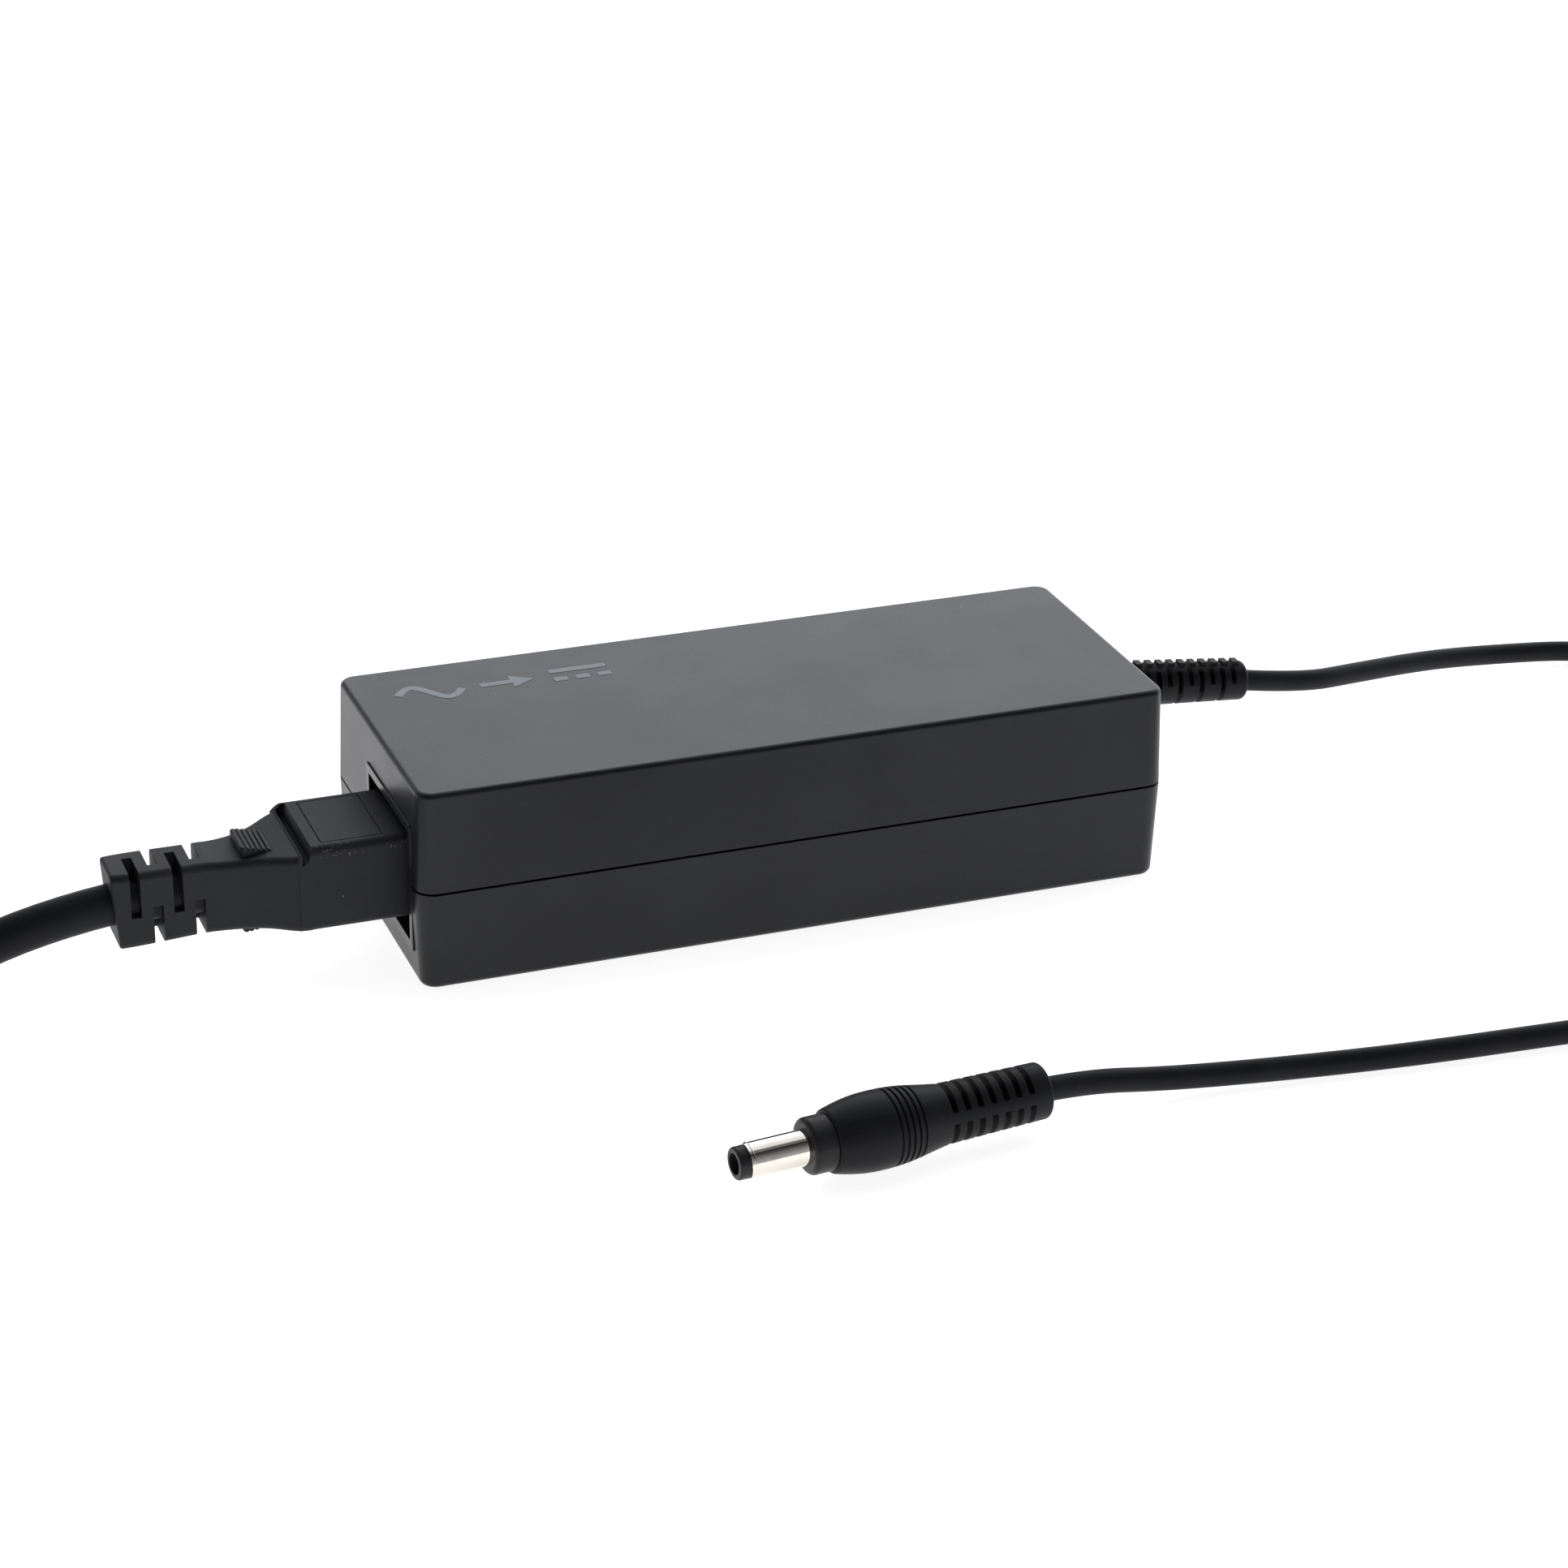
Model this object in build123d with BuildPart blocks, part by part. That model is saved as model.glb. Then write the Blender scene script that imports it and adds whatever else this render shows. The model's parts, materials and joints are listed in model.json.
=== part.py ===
from build123d import *
import math
import os

# A laptop power adapter: a welded two-shell case with its circuit inside, a captive low-voltage
# cord that ends in a barrel plug, and a mains lead that pulls out of the inlet in the left end.
# Millimetres. +X runs along the case away from the inlet, +Z is up, and the origin is the centre
# of the case's underside. Free lengths of both cords are wound into tied coils on the same floor.

os.makedirs("parts", exist_ok=True)

# ---- Case ----
CASE_LENGTH = 130
CASE_WIDTH = 51
LOWER_HEIGHT = 16.9
UPPER_HEIGHT = 17.3
CASE_DRAFT = 2
CASE_CORNER = 3.3
WALL = 2.2
TOP_EDGE = 0.9
BOTTOM_EDGE = 1.2
PARTING_GAP = 0.4
PARTING_DEPTH = 0.55
TONGUE_WIDTH = 0.9
TONGUE_HEIGHT = 1.4
SEAT_GAP = 0.1

# ---- Rating label in the underside ----
LABEL_LENGTH = 86
LABEL_WIDTH = 36
LABEL_RECESS = 0.4
LABEL_THICK = 0.15

# ---- Mains inlet in the left end ----
INLET_Y = -7.5
INLET_Z = 16.15
INLET_WIDTH = 26
INLET_HEIGHT = 22.4
INLET_RIM = 1.5
INLET_FRONT = -64.9
INLET_FLOOR = -60.7
INLET_BACK = -46.9
INLET_END = -43.5
PIN_PITCH = 10
LINE_PIN_RISE = 2
EARTH_PIN_DROP = 3.7
PIN_DIAMETER = 2.4
PIN_TIP = -57
PIN_TAIL = -38
LOBE_DIAMETER = 6.8
LOBE_CLEARANCE = 0.8

# ---- Connector on the mains lead ----
SOCKET_Z = 16.6
BLOCK_FRONT = -61
BLOCK_REAR = -82
BLOCK_WIDTH = 19.2
BLOCK_BOTTOM = 9.45
BLOCK_TOP = 24.1
BLOCK_EDGE = 1.3
BLOCK_BEVEL = 1.7
GROOVE_FRONT = -79.8
GROOVE_REAR = -81.4
GROOVE_BEND = (-80.35, 22.1)
GROOVE_FLOOR = 21.2
GROOVE_SHOULDER = 1.2
NOSE_FRONT = -47.5
INSERT_REAR = -72
TAIL_FRONT = -80
TAIL_REAR = -110.9
TAIL_TOP = 21.6
TAIL_BOTTOM = 8.6
MAINS_AXIS_Z = 14.95
INSERT_WIDTH = 15
INSERT_HEIGHT = 11.4
OUTLINE_CENTRE = -72.9
OUTLINE_LENGTH = 10.2
OUTLINE_WIDTH = 15.6
SCORE_WIDTH = 0.18
CONTACT_OUTER = 3.6
CONTACT_INNER = 2.7

# ---- Cords ----
MAINS_DIAMETER = 6.8
DC_DIAMETER = 3.8
ARC_SHARE = 0.45

# ---- Low-voltage strain relief in the right end ----
DC_EXIT = (65, 17.4, 17)
DC_RELIEF_END = (100.4, 15.7, 14.3)
RELIEF_ROOT = 8.3
RELIEF_TIP = 7.1
RELIEF_NECK = 6.4
RELIEF_FLANGE = 10
RELIEF_SLOTS = 15
RELIEF_PITCH = 2.1
RELIEF_SLOT_WIDTH = 0.95
RELIEF_FIRST_SLOT = 2.65
UPPER_SLOT_FLOOR = 0.8
LOWER_SLOT_CEILING = 3.1
RIDGE_WIDTH = 2
RIDGE_HEIGHT = 0.4
FLANGE_THICK = 1.8
FLANGE_GAP = 0.3

# ---- Barrel plug on the low-voltage cord ----
PLUG_TIP = (-39.7, -100.8, 6)
PLUG_REAR = (11.2, -95.7, 6)
BARREL_DIAMETER = 5.5
BARREL_ROOT_DIAMETER = 5
BARREL_BORE = 4.5
BARREL_REAR = 19
CENTRE_BORE = 2.5
CONTACT_FRONT = 1.9
CONTACT_REAR = 21.5
TIP_DIAMETER = 5
TIP_BORE = 3.3
TIP_LENGTH = 1.7
COLLAR_FRONT = 11.3
COLLAR_REAR = 15
COLLAR_DIAMETER = 8.65
CORE_DIAMETER = 7.6
CORE_REAR = 22
OVERMOULD_REAR = 50.9
GRIP_GROOVES = 5
GRIP_FIRST = 24.3
GRIP_PITCH = 1.02
PLUG_SLOTS = 7
PLUG_SLOT_FIRST = 33.7
PLUG_SLOT_PITCH = 2.17
PLUG_WEB_LEAN = -18
PLUG_WEB_THICK = 1.7
PLUG_SLOT_WIDTH = 1
GRIP_GROOVE_WIDTH = 0.42
GRIP_RADIUS = 5.65
GRIP_TAPER = 0.11

# ---- Circuit board ----
BOARD_BOTTOM = 5.6
BOARD_TOP = 7.2
BOARD_LEFT = -42.5
BOARD_RIGHT = 59.5
BOARD_WIDTH = 43

# ---- Coils of spare cord: centre, largest and smallest winding radius ----
MAINS_COIL = (-192, -54)
MAINS_COIL_OUTER = 46.2
MAINS_COIL_INNER = 27.5
DC_COIL = (155, -74.5)
DC_COIL_OUTER = 27.5
DC_COIL_INNER = 16.7
TIE_THICK = 0.9
TIE_CLEARANCE = 0.3

# ---- Mains plug ----
PLUG_Y = -11.1
PLUG_Z = 17
PLUG_CORD_END = -238
PLUG_NECK = -256
PLUG_FACE = -286
PLUG_DIAMETER = 36
PLUG_GRIP_LENGTH = 16
PLUG_PIN_DIAMETER = 4.8
PLUG_PIN_ROOT_DIAMETER = 4
PLUG_PIN_ROOT = 9.9
PLUG_PIN_PITCH = 19
PLUG_PIN_LENGTH = 19


# ==== Case shells ====

def rounded_plan(inset, height):
    """The case's plan outline, drawn in from its widest line by inset."""
    with BuildSketch(Plane.XY.offset(height)) as plan:
        RectangleRounded(CASE_LENGTH - 2 * inset, CASE_WIDTH - 2 * inset, CASE_CORNER - inset / 2)
    return plan.sketch


def cut_end_openings():
    """The inlet's window in the left wall and the strain relief's hole in the right one."""
    with Locations((-CASE_LENGTH / 2, INLET_Y, INLET_Z)):
        Box(4 * WALL, INLET_WIDTH, INLET_HEIGHT, mode=Mode.SUBTRACT)
    with Locations(Location(DC_EXIT, (0, 90, 0))):
        Cylinder((RELIEF_NECK + SEAT_GAP) / 2, 4 * WALL, mode=Mode.SUBTRACT)


with BuildPart() as upper_shell:
    extrude(rounded_plan(0, LOWER_HEIGHT), amount=UPPER_HEIGHT, taper=CASE_DRAFT)
    fillet(upper_shell.edges().group_by(Axis.Z)[-1], TOP_EDGE)
    cavity = rounded_plan(WALL, LOWER_HEIGHT)
    extrude(cavity, amount=UPPER_HEIGHT - WALL, taper=CASE_DRAFT, mode=Mode.SUBTRACT)
    groove = rounded_plan(WALL - TONGUE_WIDTH - SEAT_GAP, LOWER_HEIGHT)
    extrude(groove, amount=TONGUE_HEIGHT + SEAT_GAP, mode=Mode.SUBTRACT)
    with BuildSketch(Plane.XY.offset(LOWER_HEIGHT)):
        Rectangle(CASE_LENGTH + 2, CASE_WIDTH + 2)
        add(rounded_plan(PARTING_DEPTH, 0), mode=Mode.SUBTRACT)
    extrude(amount=PARTING_GAP, mode=Mode.SUBTRACT)
    cut_end_openings()
upper_shell.part.label = "upper_shell"
export_step(upper_shell.part, "parts/upper_shell.step")

BOARD_POSTS = [(x, y) for x in (BOARD_LEFT + 6, BOARD_RIGHT - 6) for y in (-17, 17)]

with BuildPart() as lower_shell:
    extrude(rounded_plan(0, LOWER_HEIGHT), amount=-LOWER_HEIGHT, taper=CASE_DRAFT)
    fillet(lower_shell.edges().group_by(Axis.Z)[0], BOTTOM_EDGE)
    cavity = rounded_plan(WALL, LOWER_HEIGHT)
    extrude(cavity, amount=WALL - LOWER_HEIGHT, taper=CASE_DRAFT, mode=Mode.SUBTRACT)
    with BuildSketch(Plane.XY.offset(LOWER_HEIGHT)):
        add(rounded_plan(WALL - TONGUE_WIDTH, 0))
        add(rounded_plan(WALL, 0), mode=Mode.SUBTRACT)
    extrude(amount=TONGUE_HEIGHT)
    with BuildSketch():
        RectangleRounded(LABEL_LENGTH, LABEL_WIDTH, 1.5)
    extrude(amount=LABEL_RECESS, mode=Mode.SUBTRACT)
    with BuildSketch(Plane.XY.offset(WALL)):
        with Locations(*BOARD_POSTS):
            Circle(2.5)
    extrude(amount=BOARD_BOTTOM - 0.4 - WALL)
    cut_end_openings()
lower_shell.part.label = "lower_shell"
export_step(lower_shell.part, "parts/lower_shell.step")

with BuildPart() as rating_label:
    with BuildSketch(Plane.XY.offset(LABEL_RECESS - LABEL_THICK)):
        RectangleRounded(LABEL_LENGTH - 1, LABEL_WIDTH - 1, 1.2)
    extrude(amount=LABEL_THICK)
rating_label.part.label = "rating_label"
export_step(rating_label.part, "parts/rating_label.step")


# ==== Mains inlet ====

PIN_PLACES = {
    "line": (INLET_Y - PIN_PITCH / 2, SOCKET_Z + LINE_PIN_RISE),
    "neutral": (INLET_Y + PIN_PITCH / 2, SOCKET_Z + LINE_PIN_RISE),
    "earth": (INLET_Y, SOCKET_Z - EARTH_PIN_DROP),
}


def end_plane(x):
    """A plane across the case at x, whose own X is +Y and whose normal is +X."""
    return Plane(origin=(x, 0, 0), x_dir=(0, 1, 0), z_dir=(1, 0, 0))


def three_lobes(x, diameter):
    """The three round lobes around the pins, joined in the middle."""
    with BuildSketch(end_plane(x)) as lobes:
        with Locations(*PIN_PLACES.values()):
            Circle(diameter / 2)
        with BuildLine():
            Polyline(*PIN_PLACES.values(), close=True)
        make_face()
    return lobes.sketch


with BuildPart() as inlet_housing:
    with BuildSketch(end_plane(INLET_FRONT)):
        with Locations((INLET_Y, INLET_Z)):
            RectangleRounded(INLET_WIDTH - SEAT_GAP, INLET_HEIGHT - SEAT_GAP, 0.6)
    extrude(amount=INLET_END - INLET_FRONT)
    with BuildSketch(end_plane(-CASE_LENGTH / 2 + WALL + 0.5)):
        with Locations((INLET_Y, INLET_Z)):
            Rectangle(INLET_WIDTH + 3, INLET_HEIGHT + 3)
    extrude(amount=1.2)
    with BuildSketch(end_plane(INLET_FRONT)):
        with Locations((INLET_Y, INLET_Z)):
            Rectangle(INLET_WIDTH - 2 * INLET_RIM, INLET_HEIGHT - 2 * INLET_RIM)
    extrude(amount=INLET_FLOOR - INLET_FRONT, mode=Mode.SUBTRACT)
    socket = three_lobes(INLET_FLOOR, LOBE_DIAMETER + LOBE_CLEARANCE)
    extrude(socket, amount=INLET_BACK - INLET_FLOOR, mode=Mode.SUBTRACT)
    with BuildSketch(end_plane(INLET_BACK)):
        with Locations(*PIN_PLACES.values()):
            Circle(PIN_DIAMETER / 2 + 0.05)
    extrude(amount=INLET_END - INLET_BACK, mode=Mode.SUBTRACT)
inlet_housing.part.label = "inlet_housing"
export_step(inlet_housing.part, "parts/inlet_housing.step")

for pin_name, pin_place in PIN_PLACES.items():
    with BuildPart() as inlet_pin:
        with BuildSketch(end_plane(PIN_TIP)):
            with Locations(pin_place):
                Circle(PIN_DIAMETER / 2)
        extrude(amount=PIN_TAIL - PIN_TIP)
        fillet(inlet_pin.edges().group_by(Axis.X)[0], 0.9)
    inlet_pin.part.label = f"inlet_{pin_name}_pin"
    export_step(inlet_pin.part, f"parts/inlet_{pin_name}_pin.step")


# ==== Connector that plugs into the inlet ====

with BuildPart() as connector_insert:
    extrude(three_lobes(NOSE_FRONT, LOBE_DIAMETER), amount=BLOCK_FRONT - NOSE_FRONT)
    fillet(connector_insert.edges().group_by(Axis.X)[-1], 0.4)
    with BuildSketch(end_plane(BLOCK_FRONT)):
        with Locations((INLET_Y, SOCKET_Z)):
            Rectangle(INSERT_WIDTH, INSERT_HEIGHT)
    extrude(amount=INSERT_REAR - BLOCK_FRONT)
    with BuildSketch(end_plane(NOSE_FRONT)):
        with Locations(*PIN_PLACES.values()):
            Circle(PIN_DIAMETER / 2 + 0.3)
    extrude(amount=-4, mode=Mode.SUBTRACT)
    with BuildSketch(end_plane(NOSE_FRONT - 1.5)):
        with Locations(*PIN_PLACES.values()):
            Circle(CONTACT_OUTER / 2 + 0.05)
    extrude(amount=-20, mode=Mode.SUBTRACT)
connector_insert.part.label = "connector_insert"
export_step(connector_insert.part, "parts/connector_insert.step")

for contact_name, contact_place in PIN_PLACES.items():
    with BuildPart() as contact:
        with BuildSketch(end_plane(NOSE_FRONT - 1.6)):
            with Locations(contact_place):
                Circle(CONTACT_OUTER / 2)
                Circle(CONTACT_INNER / 2, mode=Mode.SUBTRACT)
        extrude(amount=-19.5)
    contact.part.label = f"connector_{contact_name}_contact"
    export_step(contact.part, f"parts/connector_{contact_name}_contact.step")


def connector_block():
    """The square front of the connector, bevelled down at the rear of its top."""
    with BuildPart() as block:
        with BuildSketch(end_plane(BLOCK_FRONT)):
            with Locations((INLET_Y, (BLOCK_TOP + BLOCK_BOTTOM) / 2)):
                RectangleRounded(BLOCK_WIDTH, BLOCK_TOP - BLOCK_BOTTOM, BLOCK_EDGE)
        extrude(amount=BLOCK_REAR - BLOCK_FRONT)
        with BuildSketch(Plane.XZ):
            with Locations((BLOCK_REAR, BLOCK_TOP)):
                Rectangle(BLOCK_BEVEL * math.sqrt(2), BLOCK_BEVEL * math.sqrt(2), rotation=45)
        extrude(amount=BLOCK_WIDTH + 10, both=True, mode=Mode.SUBTRACT)
    return block.part


def connector_tail():
    """The rear of the connector, waisted in plan and deepening a little towards its rear in side view."""
    half = BLOCK_WIDTH / 2
    with BuildPart() as tail:
        with BuildSketch(Plane.XY.offset(TAIL_BOTTOM - 0.1)):
            with BuildLine():
                waist = [(-82, half - 0.2), (-86, 7.1), (-90, 5.6), (-96, 4.8)]
                near = Spline((TAIL_FRONT, half), *waist, (TAIL_REAR, 4.4))
                Line(near @ 1, (TAIL_REAR, 0))
                Line((TAIL_REAR, 0), (TAIL_FRONT, 0))
                Line((TAIL_FRONT, 0), near @ 0)
            make_face()
            mirror(about=Plane.XZ)
        extrude(amount=BLOCK_TOP - TAIL_BOTTOM)
        with BuildSketch(Plane.XZ):
            with BuildLine():
                top = Spline((TAIL_FRONT, 22.9), (-83, 22.45), (-88, 21.75), (-95, TAIL_TOP))
                Line(top @ 1, (TAIL_REAR, TAIL_TOP))
                Line((TAIL_REAR, TAIL_TOP), (TAIL_REAR + 1, TAIL_BOTTOM))
                Line((TAIL_REAR + 1, TAIL_BOTTOM), (-96, BLOCK_BOTTOM - 0.1))
                Line((-96, BLOCK_BOTTOM - 0.1), (TAIL_FRONT, BLOCK_BOTTOM))
                Line((TAIL_FRONT, BLOCK_BOTTOM), top @ 0)
            make_face()
        extrude(amount=BLOCK_WIDTH, both=True, mode=Mode.INTERSECT)
        long_edges = [edge for edge in tail.edges() if edge.bounding_box().size.X > 8]
        fillet([edge for edge in long_edges if abs(edge.center().Y) > 1], 1.2)
        fillet(tail.faces().sort_by(Axis.X)[0].edges(), 0.5)
    return tail.part.moved(Location((0, INLET_Y, 0)))


def thumb_pad(height_at_rear):
    """A ribbed wedge for pulling the connector out, as drawn for the top."""
    with BuildPart() as pad:
        with BuildSketch(Plane.XZ.offset(-INLET_Y)):
            with BuildLine():
                Polyline((-90, 18), (-90, TAIL_TOP + height_at_rear), (-84, 22.1), (-84, 18), close=True)
            make_face()
        extrude(amount=4, both=True)
        fillet(pad.edges().filter_by(Axis.Z), 0.8)
        fillet(pad.faces().sort_by(Axis.Z)[-1].edges(), 0.3)
        with BuildSketch(Plane.XZ.offset(-INLET_Y)):
            for rib in range(6):
                place = -89.1 + 0.85 * rib
                with Locations((place, TAIL_TOP + height_at_rear - 0.2 * rib * height_at_rear / 1.7)):
                    Rectangle(0.35, 0.8)
        extrude(amount=5, both=True, mode=Mode.SUBTRACT)
    return pad.part


SLOT_WIDTH = 1.6
CORE_RADIUS = MAINS_DIAMETER / 2
WEB_WIDTH = 6
WEB_HEIGHT = 9.6
WEB_SIDE = 4.7
WEB_RISE = 5.6
UPPER_NEAR_SLOTS = (-107.1, -100.3)
LOWER_NEAR_SLOTS = (-103.6, -96.9)


def relief_slots(places, near_is_upper):
    """Slots across the tail down to the cord, leaving webs on one pair of opposite edges."""
    sign = 1 if near_is_upper else -1
    with BuildPart() as slots:
        for place in places:
            with BuildSketch(end_plane(place - SLOT_WIDTH / 2)):
                with Locations((INLET_Y, MAINS_AXIS_Z)):
                    Rectangle(14, 18)
                    Circle(CORE_RADIUS, mode=Mode.SUBTRACT)
                far_corner = (INLET_Y + WEB_SIDE, MAINS_AXIS_Z + sign * WEB_RISE)
                near_corner = (INLET_Y - WEB_SIDE, MAINS_AXIS_Z - sign * WEB_RISE)
                with Locations(far_corner, near_corner):
                    Rectangle(WEB_WIDTH, WEB_HEIGHT, mode=Mode.SUBTRACT)
            extrude(amount=SLOT_WIDTH)
    return slots.part


with BuildPart() as connector_overmould:
    add(connector_block())
    add(connector_tail())
    add(thumb_pad(1.7))
    under_pad = thumb_pad(1.3).mirror(Plane.XY.offset((TAIL_TOP + BLOCK_BOTTOM) / 2))
    add(under_pad)
    add(relief_slots(UPPER_NEAR_SLOTS, True), mode=Mode.SUBTRACT)
    add(relief_slots(LOWER_NEAR_SLOTS, False), mode=Mode.SUBTRACT)
    with BuildSketch(end_plane(BLOCK_FRONT)):
        with Locations((INLET_Y, SOCKET_Z)):
            Rectangle(INSERT_WIDTH + SEAT_GAP, INSERT_HEIGHT + SEAT_GAP)
    extrude(amount=INSERT_REAR - BLOCK_FRONT - SEAT_GAP / 2, mode=Mode.SUBTRACT)
    with BuildSketch(Plane.XZ.offset(BLOCK_WIDTH / 2 + 1 - INLET_Y)):
        with BuildLine():
            lip = (GROOVE_FRONT, BLOCK_TOP)
            above = BLOCK_TOP + 1
            Polyline(lip, GROOVE_BEND, (GROOVE_REAR, GROOVE_FLOOR), (GROOVE_REAR, above),
                     (GROOVE_FRONT, above), close=True)
        make_face()
    extrude(amount=GROOVE_SHOULDER - BLOCK_WIDTH - 1, mode=Mode.SUBTRACT)
    with BuildSketch(Plane.XY.offset(BLOCK_TOP)):
        with Locations((OUTLINE_CENTRE, INLET_Y)):
            Rectangle(OUTLINE_LENGTH, OUTLINE_WIDTH)
            Rectangle(OUTLINE_LENGTH - 2 * SCORE_WIDTH, OUTLINE_WIDTH - 2 * SCORE_WIDTH, mode=Mode.SUBTRACT)
    extrude(amount=-SCORE_WIDTH, mode=Mode.SUBTRACT)
connector_overmould.part.label = "connector_overmould"
export_step(connector_overmould.part, "parts/connector_overmould.step")


# ==== Cords and their coils ====

def corner_radii(route):
    """The largest arc that the two runs at each corner of the route allow."""
    radii = []
    for before, corner, after in zip(route, route[1:], route[2:]):
        run_in = Vector(*corner) - Vector(*before)
        run_out = Vector(*after) - Vector(*corner)
        half_turn = math.radians(run_in.get_angle(run_out)) / 2
        radii.append(ARC_SHARE * min(run_in.length, run_out.length) / math.tan(half_turn))
    return radii


def cord_tube(route, diameter):
    """A round cord along the route, with its corners rounded as widely as they can be."""
    radii = corner_radii(route)
    with BuildPart() as tube:
        with BuildLine() as line:
            FilletPolyline(*route, radius=radii)
        path = line.wires()[0]
        with BuildSketch(Plane(origin=path @ 0, z_dir=path % 0)):
            Circle(diameter / 2)
        sweep(path=path)
    expected = path.length * math.pi * diameter ** 2 / 4
    print("radii", [round(radius, 1) for radius in radii], "length", round(path.length, 1),
          "volume ratio", round(tube.part.volume / expected, 4))
    return tube


def tie_window(outer, inner, diameter, tie_width):
    """The middle and the width of the space that a straight strap needs around the curved turns."""
    inside = math.sqrt((inner - diameter / 2) ** 2 - (tie_width / 2) ** 2) - TIE_CLEARANCE
    outside = outer + diameter / 2 + TIE_CLEARANCE
    return (outside + inside) / 2, outside - inside


def coil_ring(centre, outer, inner, diameter, tie_angle, tie_width):
    """The outer shape of a coil wound two layers deep, notched underneath for its tie."""
    middle, window = tie_window(outer, inner, diameter, tie_width)
    with BuildPart() as ring:
        with BuildSketch(Plane.XY):
            with Locations(centre):
                Circle(outer + diameter / 2)
                Circle(inner - diameter / 2, mode=Mode.SUBTRACT)
        extrude(amount=2 * diameter)
        fillet(ring.edges(), diameter * 0.4)
        with Locations(Location((*centre, 0), (0, 0, tie_angle))):
            with Locations((middle, 0, 0)):
                notch_width = tie_width + 2 * TIE_CLEARANCE
                notch_height = 2 * (TIE_THICK + TIE_CLEARANCE)
                Box(window + diameter, notch_width, notch_height, mode=Mode.SUBTRACT)
    return ring


def coil_tie(centre, outer, inner, diameter, tie_angle, tie_width):
    """A strap that goes once round the bundle of turns and laps over itself on top."""
    middle, bundle_width = tie_window(outer, inner, diameter, tie_width)
    bundle_height = 2 * diameter
    outward = Vector(1, 0, 0).rotate(Axis.Z, tie_angle)
    strap_plane = Plane(origin=(*centre, 0), x_dir=outward, z_dir=outward.cross(Vector(0, 0, 1)))
    with BuildPart() as tie:
        with BuildSketch(strap_plane):
            with Locations((middle, bundle_height / 2 + TIE_THICK)):
                RectangleRounded(bundle_width + 2 * TIE_THICK, bundle_height + 2 * TIE_THICK, 1.8)
                RectangleRounded(bundle_width, bundle_height, 0.9, mode=Mode.SUBTRACT)
            with Locations((middle, bundle_height + 2.5 * TIE_THICK)):
                Rectangle(bundle_width * 0.6, TIE_THICK)
        extrude(amount=tie_width / 2, both=True)
    return tie


# The mains cord droops from the connector to the floor and meets its coil at a tangent.
MAINS_ROUTE = [
    (-109.8, -7.5, 14.95),
    (-126, -7.7, 13.3),
    (-149, -9.2, 3.4),
    (-168, -9.9, 3.4),
    (-187.2, -8.05, 3.4),
]
MAINS_TIE_ANGLE = 215
MAINS_TIE_WIDTH = 12

mains_cord = cord_tube(MAINS_ROUTE, MAINS_DIAMETER)
mains_cord.part.label = "mains_cord"
export_step(mains_cord.part, "parts/mains_cord.step")

mains_coil = coil_ring(MAINS_COIL, MAINS_COIL_OUTER, MAINS_COIL_INNER, MAINS_DIAMETER,
                       MAINS_TIE_ANGLE, MAINS_TIE_WIDTH)
mains_coil.part.label = "mains_cord_coil"
export_step(mains_coil.part, "parts/mains_cord_coil.step")

mains_tie = coil_tie(MAINS_COIL, MAINS_COIL_OUTER, MAINS_COIL_INNER, MAINS_DIAMETER,
                     MAINS_TIE_ANGLE, MAINS_TIE_WIDTH)
mains_tie.part.label = "mains_coil_tie"
export_step(mains_tie.part, "parts/mains_coil_tie.step")

# From the coil's upper layer the mains cord rises to the plug that lies beside it.
MAINS_END_ROUTE = [
    (-196, -7.98, 10.2),
    (-209.6, -9.2, 10.5),
    (-226, -10.4, 16.3),
    (-239, -11.1, 17),
]
mains_cord_end = cord_tube(MAINS_END_ROUTE, MAINS_DIAMETER)
mains_cord_end.part.label = "mains_cord_end"
export_step(mains_cord_end.part, "parts/mains_cord_end.step")

# The low-voltage cord sags to the floor, swings round outside and climbs onto its coil.
DC_ROUTE = [
    (99.6, 15.74, 14.36),
    (112.5, 15.6, 12),
    (127, 21.2, 9.7),
    (146, 28.1, 6.8),
    (164, 32.4, 3.8),
    (181, 33.4, 1.9),
    (195, 25.5, 1.9),
    (202, 8, 1.9),
    (199.5, -12, 1.9),
    (194.8, -36, 1.9),
    (188.4, -59, 3.2),
    (181.7, -81.2, 5.7),
]
DC_TIE_ANGLE = 60
DC_TIE_WIDTH = 8

dc_cord = cord_tube(DC_ROUTE, DC_DIAMETER)
dc_cord.part.label = "dc_cord"
export_step(dc_cord.part, "parts/dc_cord.step")

dc_coil = coil_ring(DC_COIL, DC_COIL_OUTER, DC_COIL_INNER, DC_DIAMETER, DC_TIE_ANGLE, DC_TIE_WIDTH)
dc_coil.part.label = "dc_cord_coil"
export_step(dc_coil.part, "parts/dc_cord_coil.step")

dc_tie = coil_tie(DC_COIL, DC_COIL_OUTER, DC_COIL_INNER, DC_DIAMETER, DC_TIE_ANGLE, DC_TIE_WIDTH)
dc_tie.part.label = "dc_coil_tie"
export_step(dc_tie.part, "parts/dc_coil_tie.step")

# From the coil's lower layer the low-voltage cord runs along the floor to the barrel plug.
DC_END_ROUTE = [
    (155, -102, 1.9),
    (128, -101.6, 1.9),
    (98, -99.6, 1.9),
    (73, -98, 1.9),
    (52, -95.4, 1.9),
    (33, -93.6, 2.7),
    (19, -94.7, 5.5),
    (10.2, -95.8, 6),
]
dc_cord_end = cord_tube(DC_END_ROUTE, DC_DIAMETER)
dc_cord_end.part.label = "dc_cord_end"
export_step(dc_cord_end.part, "parts/dc_cord_end.step")


# ==== Low-voltage strain relief ====

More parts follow.
